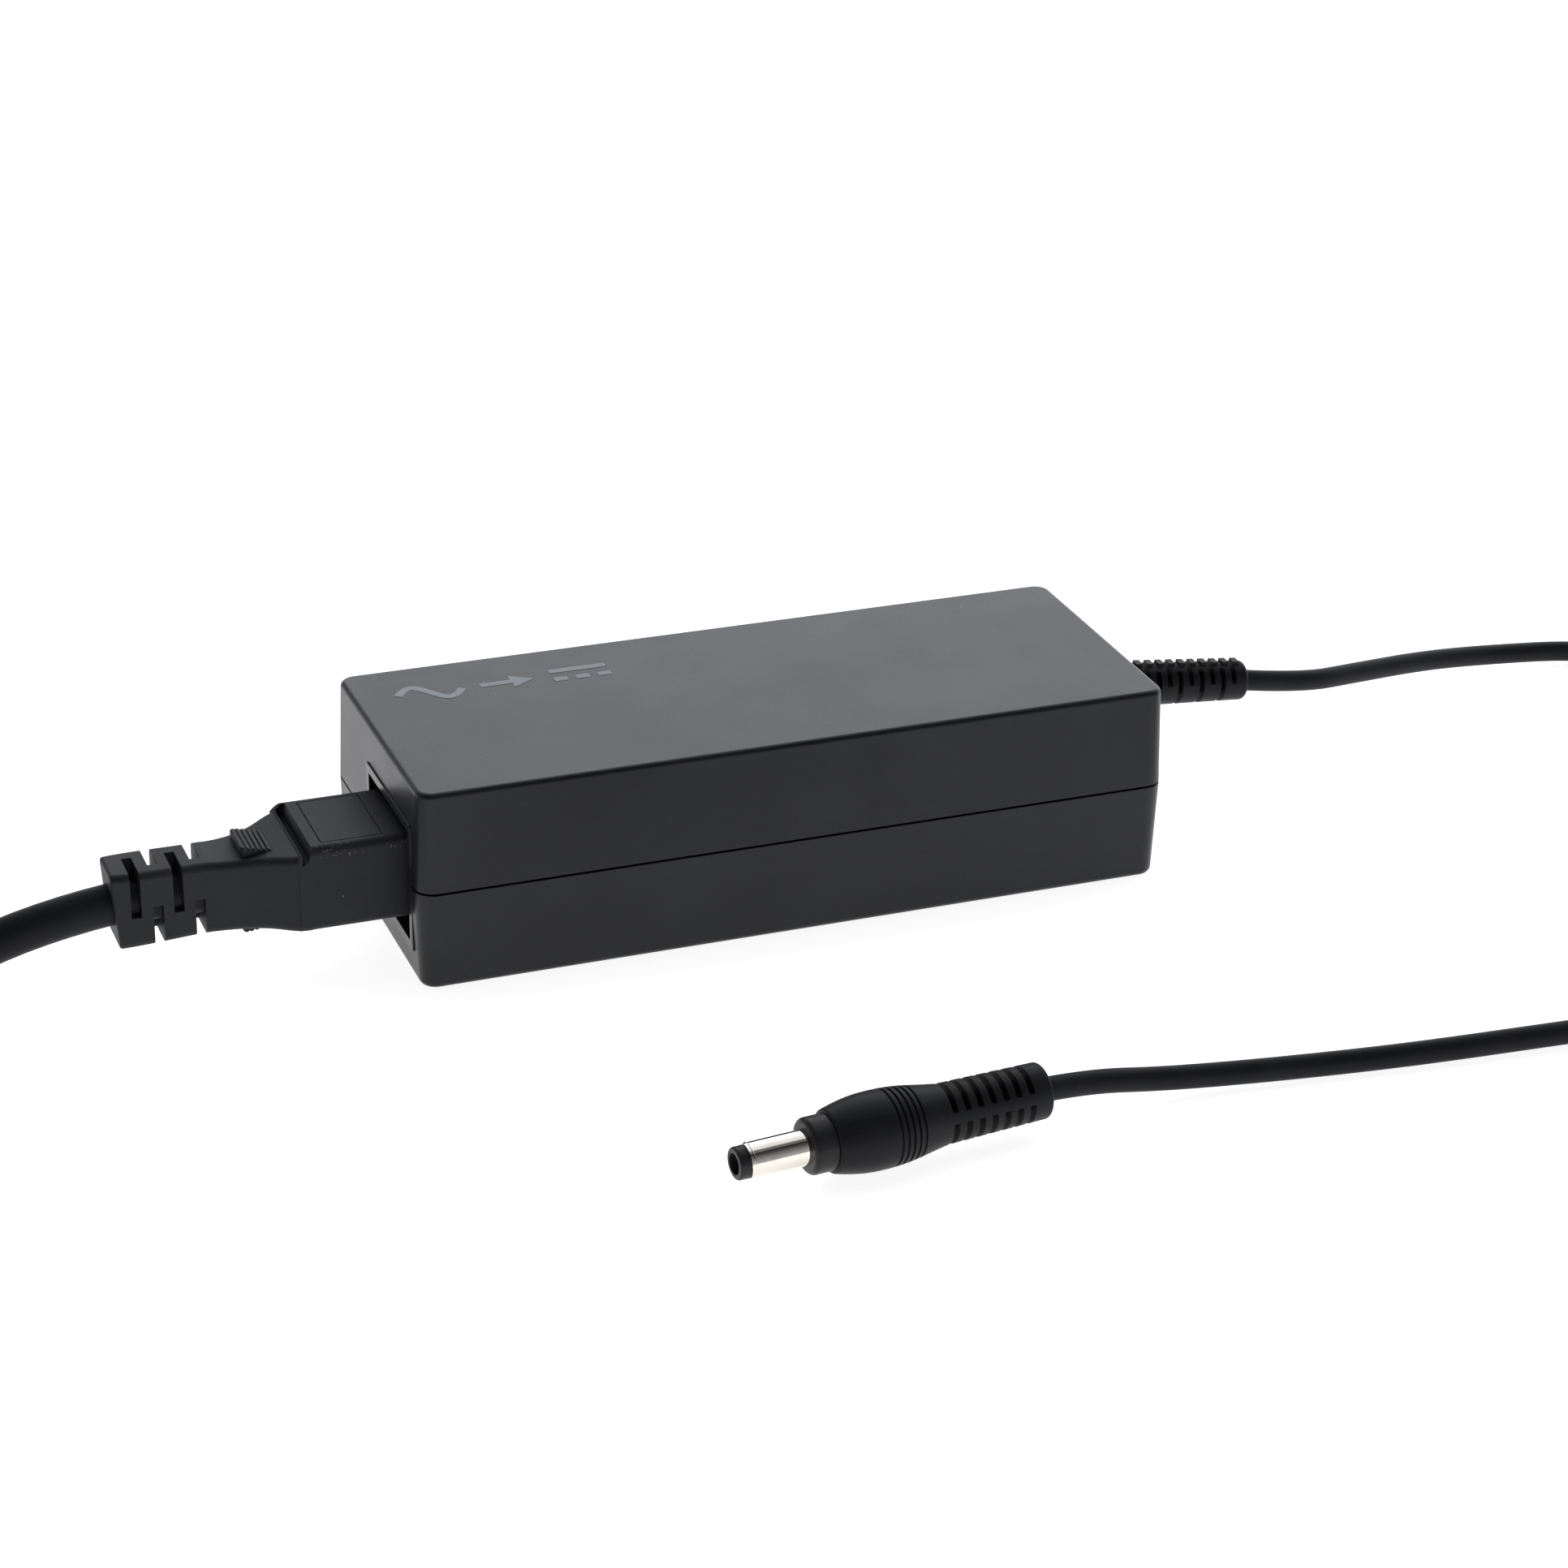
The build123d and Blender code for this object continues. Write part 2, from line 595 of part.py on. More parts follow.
def along(start, end, distance):
    """A plane across the line from start to end, at a distance from start, with its Y upwards."""
    direction = (Vector(*end) - Vector(*start)).normalized()
    sideways = Vector(0, 0, 1).cross(direction).normalized()
    return Plane(origin=Vector(*start) + direction * distance, x_dir=sideways, z_dir=direction)


RELIEF_LENGTH = (Vector(*DC_RELIEF_END) - Vector(*DC_EXIT)).length
RELIEF_UPPER_CUT = UPPER_SLOT_FLOOR + RELIEF_ROOT / 2
RELIEF_LOWER_CUT = LOWER_SLOT_CEILING - RELIEF_ROOT / 2

with BuildPart() as dc_strain_relief:
    with BuildSketch(along(DC_EXIT, DC_RELIEF_END, 0.25)):
        Circle(RELIEF_ROOT / 2)
    with BuildSketch(along(DC_EXIT, DC_RELIEF_END, RELIEF_LENGTH)):
        Circle(RELIEF_TIP / 2)
    loft()
    fillet(dc_strain_relief.edges().group_by(Axis.X)[-1], 0.9)
    with BuildSketch(end_plane(DC_EXIT[0] + 0.5)):
        with Locations(DC_EXIT[1:]):
            Circle(RELIEF_NECK / 2)
    extrude(amount=-WALL - 1)
    with BuildSketch(end_plane(DC_EXIT[0] - WALL - FLANGE_GAP)):
        with Locations(DC_EXIT[1:]):
            Circle(RELIEF_FLANGE / 2)
    extrude(amount=-FLANGE_THICK)
    for index in range(RELIEF_SLOTS):
        from_rear = RELIEF_FIRST_SLOT + RELIEF_PITCH * index
        with BuildSketch(along(DC_EXIT, DC_RELIEF_END, RELIEF_LENGTH - from_rear)):
            with Locations((0, RELIEF_UPPER_CUT if index % 2 == 0 else RELIEF_LOWER_CUT)):
                Rectangle(2 * RELIEF_ROOT, RELIEF_ROOT)
            Circle(DC_DIAMETER / 2 + 0.1, mode=Mode.SUBTRACT)
        extrude(amount=-RELIEF_SLOT_WIDTH, mode=Mode.SUBTRACT)
        surface = (RELIEF_TIP + (RELIEF_ROOT - RELIEF_TIP) * from_rear / RELIEF_LENGTH) / 2
        with BuildSketch(along(DC_EXIT, DC_RELIEF_END, RELIEF_LENGTH - from_rear)):
            with Locations((0, surface)):
                Rectangle(RIDGE_WIDTH, 2 * RIDGE_HEIGHT)
        extrude(amount=RELIEF_PITCH - RELIEF_SLOT_WIDTH)
dc_strain_relief.part.label = "dc_strain_relief"
export_step(dc_strain_relief.part, "parts/dc_strain_relief.step")


# ==== Barrel plug ====

def plug_plane(distance):
    """A plane across the plug at a distance behind its tip."""
    return along(PLUG_TIP, PLUG_REAR, distance)


def plug_ring(front, rear, outer, bore, mode=Mode.ADD):
    """A length of the plug between two round surfaces; a bore of 0 leaves it solid."""
    with BuildSketch(plug_plane(front)) as ring:
        Circle(outer / 2)
        if bore > 0:
            Circle(bore / 2, mode=Mode.SUBTRACT)
    extrude(ring.sketch, amount=rear - front, mode=mode)


FIT = 0.08

with BuildPart() as dc_plug_barrel:
    plug_ring(TIP_LENGTH, COLLAR_FRONT, BARREL_DIAMETER, BARREL_BORE)
    plug_ring(COLLAR_FRONT, BARREL_REAR, BARREL_ROOT_DIAMETER, BARREL_BORE)
dc_plug_barrel.part.label = "dc_plug_barrel"
export_step(dc_plug_barrel.part, "parts/dc_plug_barrel.step")

with BuildPart() as dc_plug_insulator:
    plug_ring(0, TIP_LENGTH, TIP_DIAMETER, 0)
    fillet(dc_plug_insulator.edges().group_by(Axis.X)[0], 0.35)
    plug_ring(TIP_LENGTH, BARREL_REAR + 1, BARREL_BORE - FIT, 0)
    plug_ring(0, BARREL_REAR + 1, TIP_BORE, 0, Mode.SUBTRACT)
dc_plug_insulator.part.label = "dc_plug_insulator"
export_step(dc_plug_insulator.part, "parts/dc_plug_insulator.step")

with BuildPart() as dc_plug_centre_contact:
    plug_ring(CONTACT_FRONT, CONTACT_REAR, TIP_BORE - FIT, CENTRE_BORE)
dc_plug_centre_contact.part.label = "dc_plug_centre_contact"
export_step(dc_plug_centre_contact.part, "parts/dc_plug_centre_contact.step")

with BuildPart() as dc_plug_collar:
    plug_ring(COLLAR_FRONT, COLLAR_REAR, COLLAR_DIAMETER, 0)
    fillet(dc_plug_collar.edges().group_by(Axis.X)[0], 0.8)
    plug_ring(COLLAR_REAR, CORE_REAR, CORE_DIAMETER, 0)
    plug_ring(COLLAR_FRONT, BARREL_REAR + FIT, BARREL_ROOT_DIAMETER + FIT, 0, Mode.SUBTRACT)
    plug_ring(BARREL_REAR + FIT, CORE_REAR, BARREL_BORE + FIT, 0, Mode.SUBTRACT)
dc_plug_collar.part.label = "dc_plug_collar"
export_step(dc_plug_collar.part, "parts/dc_plug_collar.step")

with BuildPart() as dc_plug_overmould:
    side = plug_plane(0)
    with BuildSketch(Plane(origin=side.origin, x_dir=side.z_dir, z_dir=side.x_dir)):
        with BuildLine():
            front = Line((COLLAR_REAR + 0.02, 0), (COLLAR_REAR + 0.02, 4.8))
            belly = [(17.5, 5.4), (20.5, 5.86), (23.5, 5.95), (27, 5.75), (31, 5.1), (34, 4.62)]
            swell = Spline(front @ 1, *belly)
            back = Line(swell @ 1, (OVERMOULD_REAR, 4.35))
            down = Line(back @ 1, (OVERMOULD_REAR, 0))
            Line(down @ 1, (COLLAR_REAR + 0.02, 0))
        make_face()
    revolve(axis=Axis(side.origin, side.z_dir))
    fillet(dc_plug_overmould.edges().group_by(Axis.X)[0], 0.45)
    fillet(dc_plug_overmould.edges().group_by(Axis.X)[-1], 0.5)
    plug_ring(COLLAR_REAR, CORE_REAR + 0.1, CORE_DIAMETER + FIT, 0, Mode.SUBTRACT)
    for groove in range(GRIP_GROOVES):
        centre = GRIP_FIRST + GRIP_PITCH * groove
        floor_radius = GRIP_RADIUS - GRIP_TAPER * groove
        plug_ring(centre, centre + GRIP_GROOVE_WIDTH, 14, 2 * floor_radius, Mode.SUBTRACT)
    for slot in range(PLUG_SLOTS):
        with BuildSketch(plug_plane(PLUG_SLOT_FIRST + PLUG_SLOT_PITCH * slot)):
            Rectangle(12, 12)
            Rectangle(14, PLUG_WEB_THICK, rotation=PLUG_WEB_LEAN, mode=Mode.SUBTRACT)
            Circle(2.4, mode=Mode.SUBTRACT)
        extrude(amount=PLUG_SLOT_WIDTH, mode=Mode.SUBTRACT)
dc_plug_overmould.part.label = "dc_plug_overmould"
export_step(dc_plug_overmould.part, "parts/dc_plug_overmould.step")


# ==== Mains plug, lying on the flat beside one earth strip with its pins level ====

def plug_section(x):
    """A plane across the mains plug at x, centred on its axis, whose own Y is up."""
    return Plane(origin=(x, PLUG_Y, PLUG_Z), x_dir=(0, 1, 0), z_dir=(1, 0, 0))


FLAT_HEIGHT = 2 * PLUG_Z
NOTCH_DEPTH = 3
NOTCH_WIDTH = 5.4
EARTH_STRIP_WIDTH = 5
EARTH_RECESS_DEPTH = 1.3
EARTH_STRIP_LENGTH = 17
EARTH_HOLE_RADIUS = 2.55
EARTH_HOLE_DEPTH = 15

with BuildPart() as mains_plug_body:
    with BuildSketch(plug_section(PLUG_FACE)):
        Circle(PLUG_DIAMETER / 2)
        Rectangle(PLUG_DIAMETER, FLAT_HEIGHT, mode=Mode.INTERSECT)
    extrude(amount=PLUG_GRIP_LENGTH)
    with BuildSketch(plug_section(PLUG_FACE + PLUG_GRIP_LENGTH)):
        Circle(PLUG_DIAMETER / 2)
        Rectangle(PLUG_DIAMETER, FLAT_HEIGHT, mode=Mode.INTERSECT)
    with BuildSketch(plug_section(PLUG_NECK)):
        RectangleRounded(17, 15, 5)
    loft()
    with BuildSketch(plug_section(PLUG_NECK)):
        Circle(6.6)
    with BuildSketch(plug_section(PLUG_CORD_END)):
        Circle(4.9)
    loft()
    for slot in range(5):
        with BuildSketch(plug_section(PLUG_NECK + 2.2 + 3.1 * slot)):
            Circle(9)
            Circle(MAINS_DIAMETER / 2 + 0.5, mode=Mode.SUBTRACT)
            if slot % 2 == 0:
                Rectangle(18, 4, mode=Mode.SUBTRACT)
            else:
                Rectangle(4, 18, mode=Mode.SUBTRACT)
        extrude(amount=1.4, mode=Mode.SUBTRACT)
    fillet(mains_plug_body.edges().group_by(Axis.X)[0], 0.8)
    with BuildSketch(plug_section(PLUG_FACE)):
        with Locations((PLUG_DIAMETER / 2, 0), (-PLUG_DIAMETER / 2, 0)):
            Rectangle(2 * NOTCH_DEPTH, NOTCH_WIDTH)
        with Locations((0, PLUG_Z), (0, -PLUG_Z)):
            Rectangle(EARTH_STRIP_WIDTH + 0.2, 2 * EARTH_RECESS_DEPTH)
    extrude(amount=EARTH_STRIP_LENGTH + 0.1, mode=Mode.SUBTRACT)
    with BuildSketch(plug_section(PLUG_FACE)):
        with Locations((PLUG_PIN_PITCH / 2, 0), (-PLUG_PIN_PITCH / 2, 0)):
            Circle(PLUG_PIN_ROOT_DIAMETER / 2 + 0.05)
    extrude(amount=PLUG_PIN_ROOT + 0.1, mode=Mode.SUBTRACT)
    with BuildSketch(plug_section(PLUG_FACE)):
        with Locations((0, 10)):
            Circle(EARTH_HOLE_RADIUS)
    extrude(amount=EARTH_HOLE_DEPTH, mode=Mode.SUBTRACT)
mains_plug_body.part.label = "mains_plug_body"
export_step(mains_plug_body.part, "parts/mains_plug_body.step")

for plug_pin_name, side_sign in (("line", -1), ("neutral", 1)):
    with BuildPart() as plug_pin:
        with BuildSketch(plug_section(PLUG_FACE - PLUG_PIN_LENGTH)):
            with Locations((side_sign * PLUG_PIN_PITCH / 2, 0)):
                Circle(PLUG_PIN_DIAMETER / 2)
        extrude(amount=PLUG_PIN_LENGTH)
        fillet(plug_pin.edges().group_by(Axis.X)[0], 1.9)
        with BuildSketch(plug_section(PLUG_FACE)):
            with Locations((side_sign * PLUG_PIN_PITCH / 2, 0)):
                Circle(PLUG_PIN_ROOT_DIAMETER / 2)
        extrude(amount=PLUG_PIN_ROOT)
    plug_pin.part.label = f"mains_plug_{plug_pin_name}_pin"
    export_step(plug_pin.part, f"parts/mains_plug_{plug_pin_name}_pin.step")

for strip_name, up in (("upper", 1), ("lower", -1)):
    with BuildPart() as earth_strip:
        with BuildSketch(plug_section(PLUG_FACE)):
            with Locations((0, up * (PLUG_Z - 0.7))):
                Rectangle(EARTH_STRIP_WIDTH, 1)
        extrude(amount=EARTH_STRIP_LENGTH)
        fillet(earth_strip.edges().filter_by(Axis.X), 0.3)
    earth_strip.part.label = f"mains_plug_{strip_name}_earth_strip"
    export_step(earth_strip.part, f"parts/mains_plug_{strip_name}_earth_strip.step")


# ==== Circuit board and what stands on it ====

def board_box(name, centre, size, edge):
    """A moulded block that stands on the board."""
    with BuildPart() as block:
        with Locations((centre[0], centre[1], BOARD_TOP + size[2] / 2)):
            Box(*size)
        fillet(block.edges().filter_by(Axis.Z), edge)
    block.part.label = name
    export_step(block.part, f"parts/{name}.step")


with BuildPart() as circuit_board:
    with BuildSketch(Plane.XY.offset(BOARD_BOTTOM)):
        with Locations(((BOARD_LEFT + BOARD_RIGHT) / 2, 0)):
            Rectangle(BOARD_RIGHT - BOARD_LEFT, BOARD_WIDTH)
        with Locations((14, 3)):
            SlotOverall(30, 1.5, rotation=90)
    extrude(amount=BOARD_TOP - BOARD_BOTTOM)
circuit_board.part.label = "circuit_board"
export_step(circuit_board.part, "parts/circuit_board.step")

with BuildPart() as insulating_sheet:
    with BuildSketch(Plane(origin=(BOARD_LEFT, 0, 0), x_dir=(0, 1, 0), z_dir=(1, 0, 0))):
        with Locations((0, (BOARD_BOTTOM - 0.4 + 26) / 2)):
            Rectangle(44.4, 26 - BOARD_BOTTOM + 0.4)
        with Locations((0, (BOARD_BOTTOM + 30) / 2)):
            Rectangle(43.6, 30 - BOARD_BOTTOM, mode=Mode.SUBTRACT)
    extrude(amount=BOARD_RIGHT - BOARD_LEFT)
insulating_sheet.part.label = "insulating_sheet"
export_step(insulating_sheet.part, "parts/insulating_sheet.step")

board_box("x_capacitor", (-25, 5.5), (12, 17.4, 15), 0.6)
board_box("bridge_rectifier", (-15, 12), (3.6, 15, 11), 0.4)
board_box("y_capacitor", (23, 18), (7, 4, 7), 1.4)
board_box("optocoupler", (41, 14), (4.6, 6.5, 3.6), 0.2)
board_box("controller_chip", (6, 6.6), (5, 6, 1.7), 0.2)

with BuildPart() as fuse:
    with Locations(Location((-25, 17.6, BOARD_TOP + 2.8), (0, 90, 0))):
        Cylinder(2.6, 14)
        Cylinder(2.8, 14)
        Cylinder(2.9, 8, mode=Mode.SUBTRACT)
        Cylinder(2.55, 8.4)
fuse.part.label = "fuse"
export_step(fuse.part, "parts/fuse.step")

CHOKE_PLACE = (-23, -12.6, BOARD_TOP + 9.4)
with BuildPart() as choke_core:
    with BuildSketch(Plane.YZ.offset(CHOKE_PLACE[0] - 3)):
        with Locations(CHOKE_PLACE[1:]):
            Circle(7.4)
            Circle(4, mode=Mode.SUBTRACT)
    extrude(amount=6)
choke_core.part.label = "filter_choke_core"
export_step(choke_core.part, "parts/filter_choke_core.step")

for winding_name, side_angle in (("line", 0), ("neutral", 180)):
    with BuildPart() as winding:
        for turn in range(7):
            turn_angle = math.radians(side_angle - 63 + 21 * turn)
            spoke = (CHOKE_PLACE[1] + 5.7 * math.cos(turn_angle), CHOKE_PLACE[2] + 5.7 * math.sin(turn_angle))
            with BuildSketch(Plane.YZ.offset(CHOKE_PLACE[0] - 4.2)):
                with Locations(Location((*spoke, 0), (0, 0, math.degrees(turn_angle)))):
                    Rectangle(6, 1.3)
            extrude(amount=8.4)
        with BuildSketch(Plane.YZ.offset(CHOKE_PLACE[0] - 3.05)):
            with Locations(CHOKE_PLACE[1:]):
                Circle(7.45)
                Circle(3.95, mode=Mode.SUBTRACT)
        extrude(amount=6.1, mode=Mode.SUBTRACT)
    winding.part.label = f"filter_choke_{winding_name}_winding"
    export_step(winding.part, f"parts/filter_choke_{winding_name}_winding.step")

with BuildPart() as bulk_capacitor:
    with Locations(Location((-1.5, -12, BOARD_TOP + 9), (0, 90, 0))):
        Cylinder(9, 26)
    fillet(bulk_capacitor.edges(), 0.9)
    with BuildSketch(end_plane(-11.5)):
        with Locations((-12, BOARD_TOP + 9)):
            Circle(10)
            Circle(8.5, mode=Mode.SUBTRACT)
    extrude(amount=1, mode=Mode.SUBTRACT)
bulk_capacitor.part.label = "bulk_capacitor"
export_step(bulk_capacitor.part, "parts/bulk_capacitor.step")

with BuildPart() as primary_heatsink:
    with Locations((-1, 19.6, BOARD_TOP + 9.5)):
        Box(22, 2, 19)
    with Locations((-1, 16.2, BOARD_TOP + 18)):
        Box(22, 6, 2)
primary_heatsink.part.label = "primary_heatsink"
export_step(primary_heatsink.part, "parts/primary_heatsink.step")

with BuildPart() as switching_transistor:
    with Locations((-1, 16.2, BOARD_TOP + 8)):
        Box(10, 4.5, 9)
    with Locations((-1, 17.9, BOARD_TOP + 14)):
        Box(10, 1.2, 3)
switching_transistor.part.label = "switching_transistor"
export_step(switching_transistor.part, "parts/switching_transistor.step")

TRANSFORMER_PLACE = (27, -2.5, BOARD_TOP + 11.5)
with BuildPart() as transformer_core:
    with Locations(TRANSFORMER_PLACE):
        Box(13, 30, 22)
        Box(14, 21, 14, mode=Mode.SUBTRACT)
        Cylinder(4.5, 14)
transformer_core.part.label = "transformer_core"
export_step(transformer_core.part, "parts/transformer_core.step")

with BuildPart() as transformer_bobbin:
    with Locations(TRANSFORMER_PLACE):
        Cylinder(5.4, 13.6)
    for cheek in (-6.2, 6.2):
        with Locations((TRANSFORMER_PLACE[0], TRANSFORMER_PLACE[1], TRANSFORMER_PLACE[2] + cheek)):
            Cylinder(9.6, 1.2)
    with Locations(TRANSFORMER_PLACE):
        Cylinder(4.6, 20, mode=Mode.SUBTRACT)
transformer_bobbin.part.label = "transformer_bobbin"
export_step(transformer_bobbin.part, "parts/transformer_bobbin.step")

with BuildPart() as transformer_winding:
    with Locations(TRANSFORMER_PLACE):
        Cylinder(9, 11)
        Cylinder(5.45, 12, mode=Mode.SUBTRACT)
transformer_winding.part.label = "transformer_winding"
export_step(transformer_winding.part, "parts/transformer_winding.step")

with BuildPart() as secondary_heatsink:
    with Locations((47, -19.6, BOARD_TOP + 9.5)):
        Box(18, 2, 19)
secondary_heatsink.part.label = "secondary_heatsink"
export_step(secondary_heatsink.part, "parts/secondary_heatsink.step")

with BuildPart() as output_rectifier:
    with Locations((47, -16.3, BOARD_TOP + 8)):
        Box(10, 4.5, 9)
    with Locations((47, -18, BOARD_TOP + 14)):
        Box(10, 1.2, 3)
output_rectifier.part.label = "output_rectifier"
export_step(output_rectifier.part, "parts/output_rectifier.step")

for number, place in enumerate(((42, -7.5), (42, 1.5), (51, -7.5)), 1):
    with BuildPart() as output_capacitor:
        with Locations((place[0], place[1], BOARD_TOP + 8)):
            Cylinder(4, 16)
        fillet(output_capacitor.edges(), 0.5)
    output_capacitor.part.label = f"output_capacitor_{number}"
    export_step(output_capacitor.part, f"parts/output_capacitor_{number}.step")

with BuildPart() as output_choke:
    with Locations((51, 2.5, BOARD_TOP + 6)):
        Cylinder(4.3, 12)
    for turn in range(6):
        with Locations((51, 2.5, BOARD_TOP + 1.5 + 1.8 * turn)):
            Torus(4.3, 0.6)
output_choke.part.label = "output_choke"
export_step(output_choke.part, "parts/output_choke.step")

for wire_name, wire_place in PIN_PLACES.items():
    with BuildPart() as inlet_wire:
        with BuildLine() as wire_line:
            FilletPolyline(
                (PIN_TAIL, *wire_place),
                (PIN_TAIL + 2.6, *wire_place),
                (PIN_TAIL + 2.6, wire_place[0], BOARD_TOP),
                radius=1.6,
            )
        with BuildSketch(end_plane(PIN_TAIL)):
            with Locations(wire_place):
                Circle(0.9)
        sweep(path=wire_line.wires()[0])
    inlet_wire.part.label = f"inlet_{wire_name}_wire"
    export_step(inlet_wire.part, f"parts/inlet_{wire_name}_wire.step")

RELIEF_INNER_FACE = DC_EXIT[0] - WALL - FLANGE_GAP - FLANGE_THICK
for lead_name, lead_side in (("positive", -1.6), ("negative", 1.6)):
    lead_y = DC_EXIT[1] + lead_side
    with BuildPart() as output_lead:
        with BuildLine() as lead_line:
            FilletPolyline(
                (RELIEF_INNER_FACE, lead_y, DC_EXIT[2]),
                (RELIEF_INNER_FACE - 3, lead_y, DC_EXIT[2]),
                (RELIEF_INNER_FACE - 3, lead_y, BOARD_TOP),
                radius=1.8,
            )
        with BuildSketch(end_plane(RELIEF_INNER_FACE)):
            with Locations((lead_y, DC_EXIT[2])):
                Circle(0.9)
        sweep(path=lead_line.wires()[0])
    output_lead.part.label = f"output_{lead_name}_lead"
    export_step(output_lead.part, f"parts/output_{lead_name}_lead.step")
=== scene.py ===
import json
import math

import bmesh
import bpy
from mathutils import Matrix, Vector


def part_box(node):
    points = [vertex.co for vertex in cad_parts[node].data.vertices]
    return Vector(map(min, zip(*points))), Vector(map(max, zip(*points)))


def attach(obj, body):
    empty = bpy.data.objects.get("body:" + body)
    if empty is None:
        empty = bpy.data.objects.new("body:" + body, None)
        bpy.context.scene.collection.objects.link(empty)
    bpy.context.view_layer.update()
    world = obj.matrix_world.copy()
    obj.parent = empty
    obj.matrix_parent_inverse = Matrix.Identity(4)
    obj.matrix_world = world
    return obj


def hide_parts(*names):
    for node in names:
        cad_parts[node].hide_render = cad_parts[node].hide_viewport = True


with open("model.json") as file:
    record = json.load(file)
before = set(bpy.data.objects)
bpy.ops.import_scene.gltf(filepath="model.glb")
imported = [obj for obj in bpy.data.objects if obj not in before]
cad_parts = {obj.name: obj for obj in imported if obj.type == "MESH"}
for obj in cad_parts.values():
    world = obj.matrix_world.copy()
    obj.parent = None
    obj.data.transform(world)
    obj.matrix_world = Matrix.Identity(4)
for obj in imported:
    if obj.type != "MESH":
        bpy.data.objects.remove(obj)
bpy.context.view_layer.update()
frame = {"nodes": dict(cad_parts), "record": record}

MM = 0.001
nodes = frame["nodes"]

# ==== Camera ====

VIEW_AZIMUTH = math.radians(-21.179)
VIEW_ELEVATION = math.radians(25.124)
VIEW_ROLL = math.radians(0.965)
VIEW_DISTANCE = 649.36 * MM
VIEW_TARGET = Vector((0, 0, 15)) * MM
VIEW_SLIDE = (5.67 * MM, 0.74 * MM)
LENS = 88.46
SENSOR_WIDTH = 36


def make_camera():
    """The camera, aimed at the case from its near left side with a slight roll."""
    back = Vector((
        math.sin(VIEW_AZIMUTH) * math.cos(VIEW_ELEVATION),
        -math.cos(VIEW_AZIMUTH) * math.cos(VIEW_ELEVATION),
        math.sin(VIEW_ELEVATION),
    ))
    right = Vector((0, 0, 1)).cross(back).normalized()
    up = back.cross(right)
    place = VIEW_TARGET + VIEW_SLIDE[0] * right + VIEW_SLIDE[1] * up + VIEW_DISTANCE * back
    turned_right = math.cos(VIEW_ROLL) * right + math.sin(VIEW_ROLL) * up
    turned_up = math.cos(VIEW_ROLL) * up - math.sin(VIEW_ROLL) * right
    data = bpy.data.cameras.new("camera")
    data.lens = LENS
    data.sensor_width = SENSOR_WIDTH
    data.clip_start = 0.01
    data.clip_end = 20
    data.dof.use_dof = False
    camera = bpy.data.objects.new("camera", data)
    bpy.context.scene.collection.objects.link(camera)
    axes = Matrix((turned_right, turned_up, back)).transposed()
    camera.matrix_world = Matrix.Translation(place) @ axes.to_4x4()
    bpy.context.scene.camera = camera


make_camera()


# ==== Cords ====

MAINS_DIAMETER = 6.8
DC_DIAMETER = 3.8
POINTS_PER_TURN = 24

MAINS_COIL_CENTRE = (-192, -54)
MAINS_COIL_OUTER = 46.2
MAINS_COIL_INNER = 27.5
MAINS_COIL_START = 84
MAINS_COIL_SWEEP = 2171
DC_COIL_CENTRE = (155, -74.5)
DC_COIL_OUTER = 27.5
DC_COIL_INNER = 16.7
DC_COIL_START = -14
DC_COIL_SWEEP = -2236

TIE_THICK = 0.9
TIE_SPREAD = math.radians(24)
TIE_CORNER_STEPS = 6
TIE_LAP_SHARE = 0.6
TIE_LAP_INSET = 0.6
MAINS_TIE_ANGLE = 215
MAINS_TIE_WIDTH = 12
MAINS_TIE_ROUNDING = 2.4
MAINS_TIE_CORNERS = [(26.2, 0.9), (47.8, 0.9), (45.6, 14.5), (23.3, 14.5)]
DC_TIE_ANGLE = 60
DC_TIE_WIDTH = 8
DC_TIE_ROUNDING = 1.4
DC_TIE_CORNERS = [(16.3, 0.9), (28.2, 0.9), (26.6, 8.5), (13.8, 8.5)]

MAINS_ROUTE = [
    (-109.8, -7.5, 14.95),
    (-126, -7.7, 13.3),
    (-149, -9.2, 3.4),
    (-168, -9.9, 3.4),
]
MAINS_END_ROUTE = [
    (-209.6, -9.2, 10.5),
    (-226, -10.4, 16.3),
    (-239, -11.1, 17),
]
DC_ROUTE = [
    (99.6, 15.74, 14.36),
    (112.5, 15.6, 12),
    (127, 21.2, 9.7),
    (146, 28.1, 6.8),
    (164, 32.4, 3.8),
    (181, 33.4, 1.9),
    (195, 25.5, 1.9),
    (202, 8, 1.9),
    (199.5, -12, 1.9),
    (194.8, -36, 1.9),
    (188.4, -59, 3.2),
]
DC_END_ROUTE = [
    (128, -101.6, 1.9),
    (98, -99.6, 1.9),
    (73, -98, 1.9),
    (52, -95.4, 1.9),
    (33, -93.6, 2.7),
    (19, -94.7, 5.5),
    (10.2, -95.8, 6),
]


